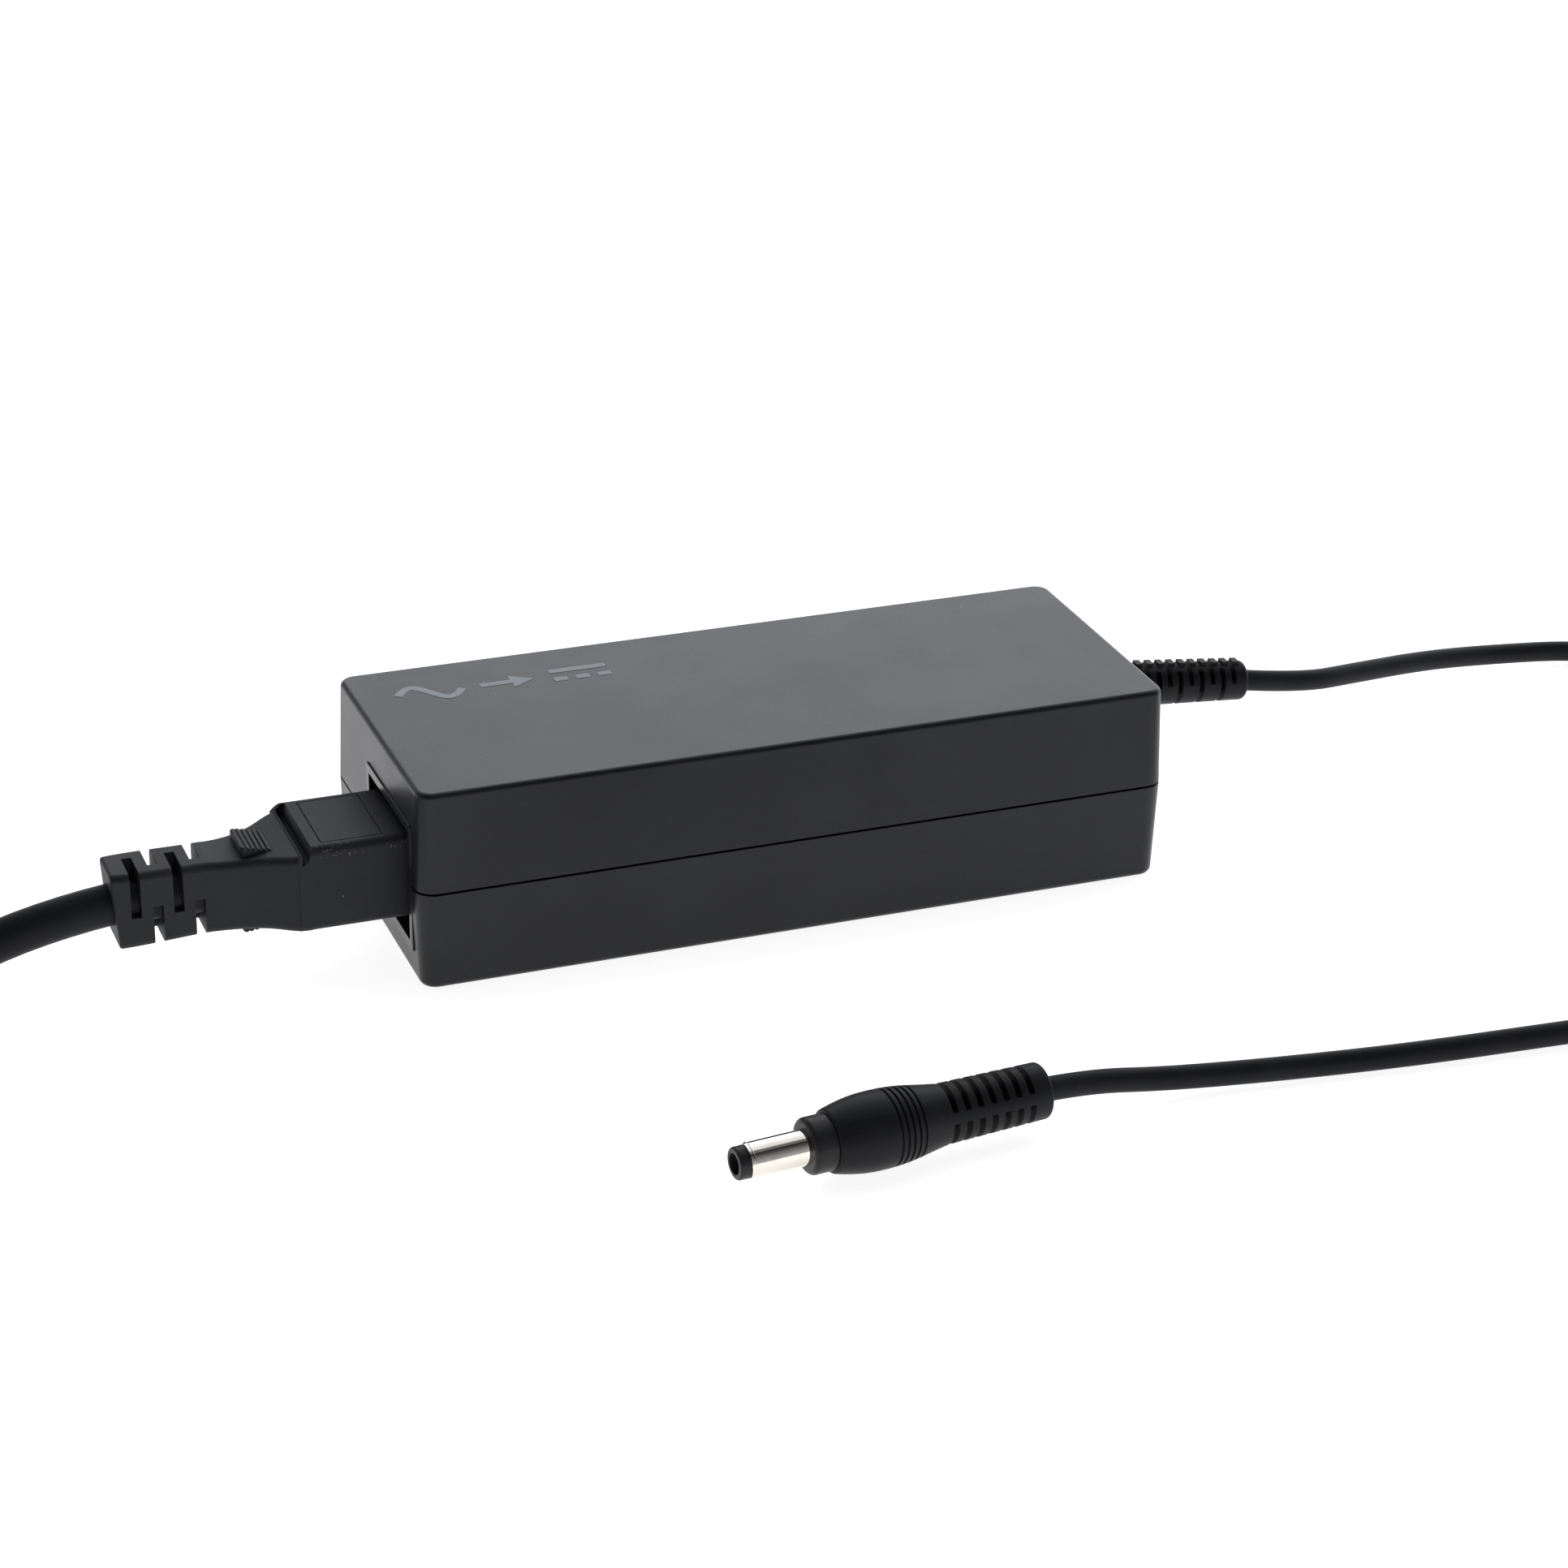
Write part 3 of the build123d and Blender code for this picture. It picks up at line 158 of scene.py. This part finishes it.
def coil_points(centre, outer, inner, diameter, start, sweep, low_first, tie_angle):
    """Turns wound in from outer to inner on one layer and out again on the other, in mm and degrees."""
    count = round(abs(sweep) / 360 * POINTS_PER_TURN)
    climb = 180 / abs(sweep)
    control_stretch = 1 / math.cos(math.pi / POINTS_PER_TURN)
    layers = (diameter / 2, 1.5 * diameter) if low_first else (1.5 * diameter, diameter / 2)
    points = []
    for index in range(count + 1):
        share = index / count
        inward = min(share / (0.5 - climb / 2), 1)
        outward = max((share - 0.5 - climb / 2) / (0.5 - climb / 2), 0)
        radius = (outer + (inner - outer) * (inward - outward)) * control_stretch
        rise = min(max((share - 0.5) / climb + 0.5, 0), 1)
        rise = rise * rise * (3 - 2 * rise)
        angle = math.radians(start + sweep * share)
        off_tie = math.remainder(angle - math.radians(tie_angle), math.tau)
        lift = TIE_THICK * math.exp(-(off_tie / TIE_SPREAD) ** 2)
        points.append((
            centre[0] + radius * math.cos(angle),
            centre[1] + radius * math.sin(angle),
            layers[0] + (layers[1] - layers[0]) * rise + lift,
        ))
    return points


def spline_cord(name, points, diameter):
    """A round cord on one smooth line through the route's control points, given in mm."""
    curve = bpy.data.curves.new(name, "CURVE")
    curve.dimensions = "3D"
    spline = curve.splines.new("NURBS")
    spline.points.add(len(points) - 1)
    for control, point in zip(spline.points, points):
        control.co = (*(Vector(point) * MM), 1)
        control.radius = diameter / 2 * MM
    spline.order_u = 3
    spline.use_endpoint_u = True
    curve.resolution_u = 8
    curve.bevel_depth = 1
    curve.bevel_resolution = 8
    curve.use_fill_caps = True
    cord = bpy.data.objects.new(name, curve)
    bpy.context.scene.collection.objects.link(cord)
    return cord


# ==== Bead on the low-voltage plug's barrel ====

PLUG_TIP = Vector((-39.7, -100.8, 6)) * MM
PLUG_REAR = Vector((11.2, -95.7, 6)) * MM
LIP_BEHIND_TIP = 2.25 * MM
LIP_RADIUS = 2.72 * MM
LIP_BEAD_RADIUS = 0.13 * MM


def make_barrel_lip():
    """The thin rolled bead just behind the front edge of the plug's barrel."""
    direction = (PLUG_REAR - PLUG_TIP).normalized()
    bpy.ops.mesh.primitive_torus_add(
        major_segments=96,
        minor_segments=16,
        major_radius=LIP_RADIUS,
        minor_radius=LIP_BEAD_RADIUS,
        location=PLUG_TIP + direction * LIP_BEHIND_TIP,
        rotation=direction.to_track_quat("Z", "Y").to_euler(),
    )
    bead = bpy.context.object
    bead.name = "barrel_lip"
    for face in bead.data.polygons:
        face.use_smooth = True
    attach(bead, "adapter")
    return bead


# ==== Ties round the coils ====

def rounded_loop(corners, cut):
    """The closed outline through four corners, each rounded off from a length cut before it."""
    points = []
    for index, corner in enumerate(corners):
        here = Vector(corner)
        start = here + (Vector(corners[index - 1]) - here).normalized() * cut
        end = here + (Vector(corners[(index + 1) % len(corners)]) - here).normalized() * cut
        for step in range(TIE_CORNER_STEPS + 1):
            share = step / TIE_CORNER_STEPS
            points.append(start * (1 - share) ** 2 + here * 2 * share * (1 - share) + end * share ** 2)
    return points


def make_tie(name, node, body, centre, angle, width, corners, cut):
    """A strap drawn snugly round the turns, lapped on top. Corners are radius and height in mm."""
    mesh = bmesh.new()
    swing = Matrix.Translation((*centre, 0)) @ Matrix.Rotation(math.radians(angle), 4, "Z")
    outward = ((-1, -1), (1, -1), (1, 1), (-1, 1))
    grown = [(radius + side * TIE_THICK, height + rise * TIE_THICK)
             for (radius, height), (side, rise) in zip(corners, outward)]
    inner = rounded_loop(corners, cut)
    outer = rounded_loop(grown, cut + TIE_THICK)
    rings = []
    for end in (-1, 1):
        for loop in (inner, outer):
            rings.append([mesh.verts.new(swing @ Vector((x, end * width / 2, z))) for x, z in loop])
    inner_near, outer_near, inner_far, outer_far = rings
    for index in range(len(inner)):
        before = index - 1
        for one, other in ((outer_near, outer_far), (inner_near, inner_far),
                           (inner_near, outer_near), (inner_far, outer_far)):
            mesh.faces.new((one[before], one[index], other[index], other[before]))
    (top_right, top), (top_left, top) = corners[2:]
    lap = Matrix.Translation(((top_left + top_right) / 2, 0, top + 1.45 * TIE_THICK))
    lap_length = (top_right - top_left) * TIE_LAP_SHARE
    size = Matrix.Diagonal((lap_length, width - TIE_LAP_INSET, TIE_THICK * 0.9, 1))
    bmesh.ops.create_cube(mesh, size=1, matrix=swing @ lap @ size)
    bmesh.ops.recalc_face_normals(mesh, faces=mesh.faces)
    bmesh.ops.scale(mesh, verts=mesh.verts, vec=(MM, MM, MM))
    data = bpy.data.meshes.new(name)
    mesh.to_mesh(data)
    tie = bpy.data.objects.new(name, data)
    bpy.context.scene.collection.objects.link(tie)
    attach(tie, body)
    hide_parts(node)
    return tie


barrel_lip = make_barrel_lip()
mains_tie = make_tie("mains_lead_tie", "mains_coil_tie", "mains_lead", MAINS_COIL_CENTRE,
                     MAINS_TIE_ANGLE, MAINS_TIE_WIDTH, MAINS_TIE_CORNERS, MAINS_TIE_ROUNDING)
dc_tie = make_tie("low_voltage_tie", "dc_coil_tie", "adapter", DC_COIL_CENTRE,
                  DC_TIE_ANGLE, DC_TIE_WIDTH, DC_TIE_CORNERS, DC_TIE_ROUNDING)


# ==== The two cords and what rides on them ====

mains_coil = coil_points(MAINS_COIL_CENTRE, MAINS_COIL_OUTER, MAINS_COIL_INNER, MAINS_DIAMETER,
                         MAINS_COIL_START, MAINS_COIL_SWEEP, True, MAINS_TIE_ANGLE)
dc_coil = coil_points(DC_COIL_CENTRE, DC_COIL_OUTER, DC_COIL_INNER, DC_DIAMETER,
                      DC_COIL_START, DC_COIL_SWEEP, False, DC_TIE_ANGLE)
mains_cord = spline_cord("mains_lead_cord", MAINS_ROUTE + mains_coil + MAINS_END_ROUTE, MAINS_DIAMETER)
dc_cord = spline_cord("low_voltage_cord", DC_ROUTE + dc_coil + DC_END_ROUTE, DC_DIAMETER)
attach(mains_cord, "mains_lead")
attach(dc_cord, "adapter")
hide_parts("mains_cord", "mains_cord_coil", "mains_cord_end")
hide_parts("dc_cord", "dc_cord_coil", "dc_cord_end")


# ==== Materials ====

EDGE_RADIUS = 0.16
BLOTCH_SIZE = 14
BLOTCH_PALER = 1.35
BLOTCH_SHEEN = 0.16
DUST_SPACING = 4.2
DUST_RADIUS = 0.13
DUST_GREY = 0.2
SCUFF_GREY = 0.16
SCUFF_REACH = 1.9
CONNECTOR_NEAR_SIDE = -17.1
CONNECTOR_TOP = 24.1


def shader(name, colour, roughness, metallic=0.0):
    """A new material and its main shader, with what is uniform set on the shader itself."""
    material = bpy.data.materials.new(name)
    material.use_nodes = True
    main = material.node_tree.nodes["Principled BSDF"]
    main.inputs["Base Color"].default_value = (*colour, 1)
    main.inputs["Roughness"].default_value = roughness
    main.inputs["Metallic"].default_value = metallic
    return material, main


def place_of(material, scale=(1, 1, 1)):
    """Object coordinates in millimetres times a scale, for the textures of a material."""
    tree = material.node_tree
    coordinates = tree.nodes.new("ShaderNodeTexCoord")
    mapping = tree.nodes.new("ShaderNodeMapping")
    mapping.inputs["Scale"].default_value = tuple(1000 * s for s in scale)
    tree.links.new(coordinates.outputs["Object"], mapping.inputs["Vector"])
    return mapping.outputs["Vector"]


def noise(material, vector, period, detail, roughness):
    """Noise whose blobs are about period millimetres across."""
    tree = material.node_tree
    texture = tree.nodes.new("ShaderNodeTexNoise")
    texture.inputs["Scale"].default_value = 1 / period
    texture.inputs["Detail"].default_value = detail
    texture.inputs["Roughness"].default_value = roughness
    tree.links.new(vector, texture.inputs["Vector"])
    return texture.outputs["Fac"]


def grey(value):
    """A neutral colour."""
    return (value, value, value)


def ramp(material, value, low, high, peak=1):
    """Maps a value between low and high onto a grey between black and a peak."""
    tree = material.node_tree
    blend = tree.nodes.new("ShaderNodeValToRGB")
    blend.color_ramp.elements[0].position = low
    blend.color_ramp.elements[1].position = high
    blend.color_ramp.elements[0].color = (*grey(0), 1)
    blend.color_ramp.elements[1].color = (*grey(peak), 1)
    tree.links.new(value, blend.inputs["Fac"])
    return blend.outputs["Color"]


def mix(material, share, first, second):
    """A blend of two colours by a share between 0 and 1."""
    tree = material.node_tree
    node = tree.nodes.new("ShaderNodeMix")
    node.data_type = "RGBA"
    tree.links.new(share, node.inputs[0])
    for socket, colour in ((node.inputs[6], first), (node.inputs[7], second)):
        if isinstance(colour, tuple):
            socket.default_value = (*colour, 1)
        else:
            tree.links.new(colour, socket)
    return node.outputs[2]


def math_node(owner, operation, *values):
    """An arithmetic node of a material or the world, whose inputs are links or numbers."""
    tree = owner.node_tree
    node = tree.nodes.new("ShaderNodeMath")
    node.operation = operation
    for socket, value in zip(node.inputs, values):
        if isinstance(value, (int, float)):
            socket.default_value = value
        else:
            tree.links.new(value, socket)
    return node.outputs[0]


def round_edges(material, main, radius):
    """Shades every sharp edge as if it were rounded, by a radius in millimetres."""
    tree = material.node_tree
    node = tree.nodes.new("ShaderNodeBevel")
    node.samples = 6
    node.inputs["Radius"].default_value = radius * MM
    tree.links.new(node.outputs["Normal"], main.inputs["Normal"])


def bump(material, main, height, distance):
    """Raises the surface by height times distance, in millimetres."""
    tree = material.node_tree
    node = tree.nodes.new("ShaderNodeBump")
    node.inputs["Strength"].default_value = 1
    node.inputs["Distance"].default_value = distance * MM
    tree.links.new(height, node.inputs["Height"])
    if main.inputs["Normal"].is_linked:
        tree.links.new(main.inputs["Normal"].links[0].from_socket, node.inputs["Normal"])
    tree.links.new(node.outputs["Normal"], main.inputs["Normal"])


def specks(material, vector, spacing, radius, share):
    """Round specks of a radius, at most one in each cell of a spacing, in a share of the cells."""
    tree = material.node_tree
    cells = tree.nodes.new("ShaderNodeTexVoronoi")
    cells.inputs["Scale"].default_value = 1 / spacing
    tree.links.new(vector, cells.inputs["Vector"])
    split = tree.nodes.new("ShaderNodeSeparateColor")
    tree.links.new(cells.outputs["Color"], split.inputs["Color"])
    near = math_node(material, "LESS_THAN", cells.outputs["Distance"], radius / spacing)
    chosen = math_node(material, "LESS_THAN", split.outputs[0], share)
    return math_node(material, "MULTIPLY", near, chosen)


def moulded(name, colour, roughness, grain, grain_depth, dust=0.0, specular=0.5):
    """Moulded plastic: spark-eroded grain, soft blotches of sheen and a few specks of dust."""
    material, main = shader(name, colour, roughness)
    main.inputs["Specular IOR Level"].default_value = specular
    tree = material.node_tree
    place = place_of(material)
    fine = noise(material, place, grain, 3, 0.6)
    blotch = noise(material, place, BLOTCH_SIZE, 3, 0.55)
    paler = tuple(min(1, channel * BLOTCH_PALER + 0.002) for channel in colour)
    body = mix(material, ramp(material, blotch, 0.35, 0.7), colour, paler)
    if dust > 0:
        dots = specks(material, place, DUST_SPACING, DUST_RADIUS, dust)
        body = mix(material, dots, body, grey(DUST_GREY))
    tree.links.new(body, main.inputs["Base Color"])
    rough = math_node(material, "MULTIPLY_ADD", blotch, BLOTCH_SHEEN, roughness - BLOTCH_SHEEN / 2)
    tree.links.new(rough, main.inputs["Roughness"])
    round_edges(material, main, EDGE_RADIUS)
    bump(material, main, fine, grain_depth)
    return material


def scuffed(material, edge_y, edge_z, reach):
    """Rubs small pale scuffs into a material along one lengthwise edge, given in mm."""
    tree = material.node_tree
    main = tree.nodes["Principled BSDF"]
    place = place_of(material)
    split = tree.nodes.new("ShaderNodeSeparateXYZ")
    tree.links.new(place, split.inputs["Vector"])
    off_y = math_node(material, "ABSOLUTE", math_node(material, "SUBTRACT", split.outputs["Y"], edge_y))
    off_z = math_node(material, "ABSOLUTE", math_node(material, "SUBTRACT", split.outputs["Z"], edge_z))
    near = math_node(material, "LESS_THAN", math_node(material, "ADD", off_y, off_z), reach)
    marks = ramp(material, noise(material, place, 0.4, 2, 0.6), 0.6, 0.66)
    patch = ramp(material, noise(material, place, 5, 1, 0.5), 0.42, 0.6, 0.8)
    rubbed = math_node(material, "MULTIPLY", math_node(material, "MULTIPLY", near, marks), patch)
    body = main.inputs["Base Color"].links[0].from_socket
    tree.links.new(mix(material, rubbed, body, grey(SCUFF_GREY)), main.inputs["Base Color"])


def metal(name, colour, roughness, brush=(1, 1, 1), scratch=0.004):
    """Plated or drawn metal with fine marks along one direction."""
    material, main = shader(name, colour, roughness, 1.0)
    tree = material.node_tree
    marks = noise(material, place_of(material, brush), 0.35, 4, 0.65)
    stain = noise(material, place_of(material), 3.5, 2, 0.5)
    darker = tuple(channel * 0.86 for channel in colour)
    tree.links.new(mix(material, ramp(material, stain, 0.4, 0.75), colour, darker),
                   main.inputs["Base Color"])
    rough = math_node(material, "MULTIPLY_ADD", marks, roughness, roughness / 2)
    tree.links.new(rough, main.inputs["Roughness"])
    bump(material, main, marks, scratch)
    return material


def woven(name, colour):
    """Hook-and-loop strap: a dense pile with a fine weave under it."""
    material, main = shader(name, colour, 0.9)
    main.inputs["Sheen Weight"].default_value = 0.35
    tree = material.node_tree
    place = place_of(material)
    pile = noise(material, place, 0.22, 5, 0.7)
    tufts = noise(material, place, 1.1, 2, 0.5)
    lighter = tuple(channel * 2.2 for channel in colour)
    tree.links.new(mix(material, ramp(material, pile, 0.45, 0.7), colour, lighter),
                   main.inputs["Base Color"])
    bump(material, main, pile, 0.25)
    bump(material, main, tufts, 0.3)
    return material


def wound(name, colour, pitch):
    """Enamelled wire: bright rings a wire apart, with painted shade in the grooves between the turns."""
    material, main = shader(name, colour, 0.3, 0.8)
    tree = material.node_tree
    wave = tree.nodes.new("ShaderNodeTexWave")
    wave.bands_direction = "Z"
    wave.inputs["Scale"].default_value = 0.314 / pitch
    wave.inputs["Distortion"].default_value = 0.4
    tree.links.new(place_of(material), wave.inputs["Vector"])
    # painted shade: between the rings the copper colour drops to 0.35 of itself, standing in for the
    # shade in the grooves between turns
    tree.links.new(mix(material, wave.outputs["Fac"], tuple(c * 0.35 for c in colour), colour),
                   main.inputs["Base Color"])
    bump(material, main, wave.outputs["Fac"], 0.2)
    return material


MATERIALS = {
    "case_plastic": moulded("case_plastic", (0.0084, 0.0091, 0.0112), 0.33, 0.3, 0.035, 0.1, 0.28),
    "label_film": moulded("label_film", (0.02, 0.02, 0.022), 0.35, 0.5, 0.01),
    "inlet_plastic": moulded("inlet_plastic", (0.012, 0.012, 0.013), 0.3, 0.3, 0.015, 0.0, 0.4),
    "connector_plastic": moulded(
        "connector_plastic", (0.0178, 0.0186, 0.0216), 0.55, 0.4, 0.05, 0.14, 0.21),
    "cord_jacket": moulded("cord_jacket", (0.0158, 0.0163, 0.0182), 0.48, 0.6, 0.012, 0.06, 0.08),
    "relief_rubber": moulded("relief_rubber", (0.0105, 0.0109, 0.0125), 0.45, 0.4, 0.03, 0.1, 0.14),
    "plug_plastic": moulded("plug_plastic", (0.0182, 0.0184, 0.0198), 0.36, 0.4, 0.02, 0.05, 0.2),
    "strap_fabric": woven("strap_fabric", (0.009, 0.009, 0.01)),
    "nickel": metal("nickel", (0.84, 0.79, 0.72), 0.03, (0.2, 1, 1), 0.001),
    "contact_metal": metal("contact_metal", (0.83, 0.68, 0.36), 0.24, (0.2, 1, 1)),
    "heatsink_metal": metal("heatsink_metal", (0.72, 0.73, 0.75), 0.38, (0.15, 1, 1), 0.01),
    "board_laminate": moulded("board_laminate", (0.02, 0.12, 0.045), 0.35, 0.9, 0.02),
    "insulating_film": moulded("insulating_film", (0.62, 0.58, 0.47), 0.3, 1.5, 0.02),
    "copper": wound("copper", (0.75, 0.33, 0.14), 0.6),
    "winding_tape": moulded("winding_tape", (0.75, 0.55, 0.05), 0.28, 0.8, 0.02),
    "bobbin_plastic": moulded("bobbin_plastic", (0.02, 0.02, 0.022), 0.5, 0.4, 0.03),
    "ferrite": moulded("ferrite", (0.035, 0.035, 0.04), 0.6, 0.3, 0.06),
    "chip_plastic": moulded("chip_plastic", (0.014, 0.014, 0.015), 0.55, 0.25, 0.03),
    "film_capacitor": moulded("film_capacitor", (0.72, 0.52, 0.06), 0.3, 0.9, 0.02),
    "disc_capacitor": moulded("disc_capacitor", (0.05, 0.18, 0.45), 0.3, 0.9, 0.03),
    "capacitor_sleeve": moulded("capacitor_sleeve", (0.012, 0.016, 0.045), 0.25, 0.9, 0.01),
    "fuse_glass": moulded("fuse_glass", (0.8, 0.79, 0.74), 0.2, 1.2, 0.01),
    "live_wire": moulded("live_wire", (0.2, 0.06, 0.02), 0.3, 0.6, 0.01),
    "neutral_wire": moulded("neutral_wire", (0.02, 0.09, 0.5), 0.3, 0.6, 0.01),
    "earth_wire": moulded("earth_wire", (0.15, 0.45, 0.03), 0.3, 0.6, 0.01),
    "output_wire": moulded("output_wire", (0.01, 0.01, 0.011), 0.3, 0.6, 0.01),
}


scuffed(MATERIALS["connector_plastic"], CONNECTOR_NEAR_SIDE, CONNECTOR_TOP, SCUFF_REACH)


def assign(piece, material):
    """Gives a piece one material all over."""
    piece.data.materials.clear()
    piece.data.materials.append(material)


slot_of = {part["node"]: part["material_slot"] for part in frame["record"]["subparts"]}
for node_name, node_piece in nodes.items():
    assign(node_piece, MATERIALS[slot_of[node_name]])
for cord in (mains_cord, dc_cord):
    assign(cord, MATERIALS["cord_jacket"])
for tie in (mains_tie, dc_tie):
    assign(tie, MATERIALS["strap_fabric"])
assign(barrel_lip, MATERIALS["nickel"])


# ==== Printed mark on the top ====

MARK_LEFT = -57
MARK_MIDDLE_Y = 13.6
STROKE = 1.5
INK_THICK = 0.03
WAVE_LENGTH = 11
WAVE_HEIGHT = 2.6
WAVE_STEPS = 32
ARROW_LEFT = MARK_LEFT + 14
ARROW_SHAFT = 5.4
ARROW_LENGTH = 9.4
ARROW_HEAD_HALF = 2.4
DIRECT_LEFT = MARK_LEFT + 26.4
BAR_LENGTH = 10
BAR_Y = MARK_MIDDLE_Y + 1.8
DASH_LENGTH = 2.4
DASH_PITCH = 3.8
DASH_Y = MARK_MIDDLE_Y - 1.6


def ribbon(mesh, points, width):
    """Adds a flat stroke of a given width along points in the plane of the top."""
    half = width / 2
    rows = []
    for index, point in enumerate(points):
        before = points[max(index - 1, 0)]
        after = points[min(index + 1, len(points) - 1)]
        along = (Vector(after) - Vector(before)).normalized()
        across = Vector((-along.y, along.x)) * half
        rows.append([mesh.verts.new((*(Vector(point) + side * across), 0)) for side in (1, -1)])
    for (left, right), (next_left, next_right) in zip(rows, rows[1:]):
        mesh.faces.new((left, right, next_right, next_left))


def make_mark():
    """Three plain symbols in a row: alternating current, an arrow, direct current."""
    mesh = bmesh.new()
    wave = []
    for step in range(WAVE_STEPS + 1):
        rise = WAVE_HEIGHT * math.sin(math.tau * step / WAVE_STEPS)
        wave.append((MARK_LEFT + WAVE_LENGTH * step / WAVE_STEPS, MARK_MIDDLE_Y + rise))
    ribbon(mesh, wave, STROKE)
    neck = ARROW_LEFT + ARROW_SHAFT
    ribbon(mesh, [(ARROW_LEFT, MARK_MIDDLE_Y), (neck, MARK_MIDDLE_Y)], STROKE)
    head = [(neck, ARROW_HEAD_HALF), (neck, -ARROW_HEAD_HALF), (ARROW_LEFT + ARROW_LENGTH, 0)]
    mesh.faces.new([mesh.verts.new((x, MARK_MIDDLE_Y + y, 0)) for x, y in head])
    ribbon(mesh, [(DIRECT_LEFT, BAR_Y), (DIRECT_LEFT + BAR_LENGTH, BAR_Y)], STROKE)
    for dash in range(3):
        left = DIRECT_LEFT + DASH_PITCH * dash
        ribbon(mesh, [(left, DASH_Y), (left + DASH_LENGTH, DASH_Y)], STROKE)
    bmesh.ops.recalc_face_normals(mesh, faces=mesh.faces)
    solid = bmesh.ops.extrude_face_region(mesh, geom=list(mesh.faces))
    raised = [item for item in solid["geom"] if isinstance(item, bmesh.types.BMVert)]
    bmesh.ops.translate(mesh, verts=raised, vec=(0, 0, INK_THICK))
    bmesh.ops.recalc_face_normals(mesh, faces=mesh.faces)
    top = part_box("upper_shell")[1].z
    bmesh.ops.scale(mesh, verts=mesh.verts, vec=(MM, MM, MM))
    bmesh.ops.translate(mesh, verts=mesh.verts, vec=(0, 0, top))
    data = bpy.data.meshes.new("printed_mark")
    mesh.to_mesh(data)
    mark = bpy.data.objects.new("printed_mark", data)
    bpy.context.scene.collection.objects.link(mark)
    ink = moulded("mark_ink", (0.27, 0.29, 0.32), 0.5, 0.25, 0.01)
    assign(mark, ink)
    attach(mark, "adapter")


make_mark()


# ==== Floor and light ====

FLOOR_SIZE = 8
FLOOR_DROP = 0.2 * MM
FLOOR_GLOW = 0.88
STUDIO_PEAK = 2
STUDIO_TINT = (0.972, 0.988, 1.045)
STUDIO_SIDE = (-0.2, 0.14)
STUDIO_SIDE_LIGHT = 0.3
STUDIO_BANDS = [
    (0, 0.5),
    (0.15, 0.26),
    (0.3, 0.07),
    (0.42, 0),
    (0.482, 0),
    (0.492, 0.65),
    (0.64, 0.95),
    (0.8, 1.85),
    (1, 1.98),
]


def make_floor():
    """A white floor that runs out of sight and glows a little, so that shadows stay faint."""
    bpy.ops.mesh.primitive_plane_add(size=FLOOR_SIZE, location=(0, 0, -FLOOR_DROP))
    floor = bpy.context.object
    floor.name = "floor"
    material, main = shader("floor", (0.88, 0.88, 0.885), 0.8)
    main.inputs["Specular IOR Level"].default_value = 0.1
    main.inputs["Emission Color"].default_value = (1, 1, 1, 1)
    main.inputs["Emission Strength"].default_value = FLOOR_GLOW
    assign(floor, material)


def soft_box(name, place, target, size, power):
    """A large soft area light."""
    data = bpy.data.lights.new(name, "AREA")
    data.shape = "RECTANGLE"
    data.size = size[0]
    data.size_y = size[1]
    data.energy = power
    light = bpy.data.objects.new(name, data)
    light.location = place
    light.rotation_euler = (Vector(target) - Vector(place)).to_track_quat("-Z", "Y").to_euler()
    bpy.context.scene.collection.objects.link(light)


def make_world():
    """A studio lit in bands, from its dim front over the ceiling to its bright back, dim at its left."""
    world = bpy.data.worlds.new("studio")
    world.use_nodes = True
    tree = world.node_tree
    coordinates = tree.nodes.new("ShaderNodeTexCoord")
    split = tree.nodes.new("ShaderNodeSeparateXYZ")
    tree.links.new(coordinates.outputs["Generated"], split.inputs["Vector"])
    forward = math_node(world, "MULTIPLY", split.outputs["Y"], -1)
    angle = math_node(world, "ARCTAN2", split.outputs["Z"], forward)
    bands = tree.nodes.new("ShaderNodeValToRGB")
    elements = bands.color_ramp.elements
    while len(elements) < len(STUDIO_BANDS):
        elements.new(0.5)
    for element, (position, strength) in zip(elements, STUDIO_BANDS):
        element.position = position
        element.color = (*grey(strength / STUDIO_PEAK), 1)
    tree.links.new(math_node(world, "DIVIDE", angle, math.pi), bands.inputs["Fac"])
    strong = math_node(world, "MULTIPLY", bands.outputs["Color"], STUDIO_PEAK)
    side = tree.nodes.new("ShaderNodeMapRange")
    side.interpolation_type = "SMOOTHSTEP"
    side.inputs["From Min"].default_value = STUDIO_SIDE[0]
    side.inputs["From Max"].default_value = STUDIO_SIDE[1]
    side.inputs["To Min"].default_value = STUDIO_SIDE_LIGHT
    side.inputs["To Max"].default_value = 1
    tree.links.new(split.outputs["X"], side.inputs["Value"])
    background = tree.nodes["Background"]
    background.inputs["Color"].default_value = (*STUDIO_TINT, 1)
    tree.links.new(math_node(world, "MULTIPLY", strong, side.outputs[0]), background.inputs["Strength"])
    bpy.context.scene.world = world


make_floor()
make_world()
soft_box("overhead", place=(0.1, 0.1, 1.0), target=(0, 0, 0), size=(1.3, 1.1), power=0.8)
bpy.context.scene.view_settings.view_transform = "Standard"

bpy.context.view_layer.update()
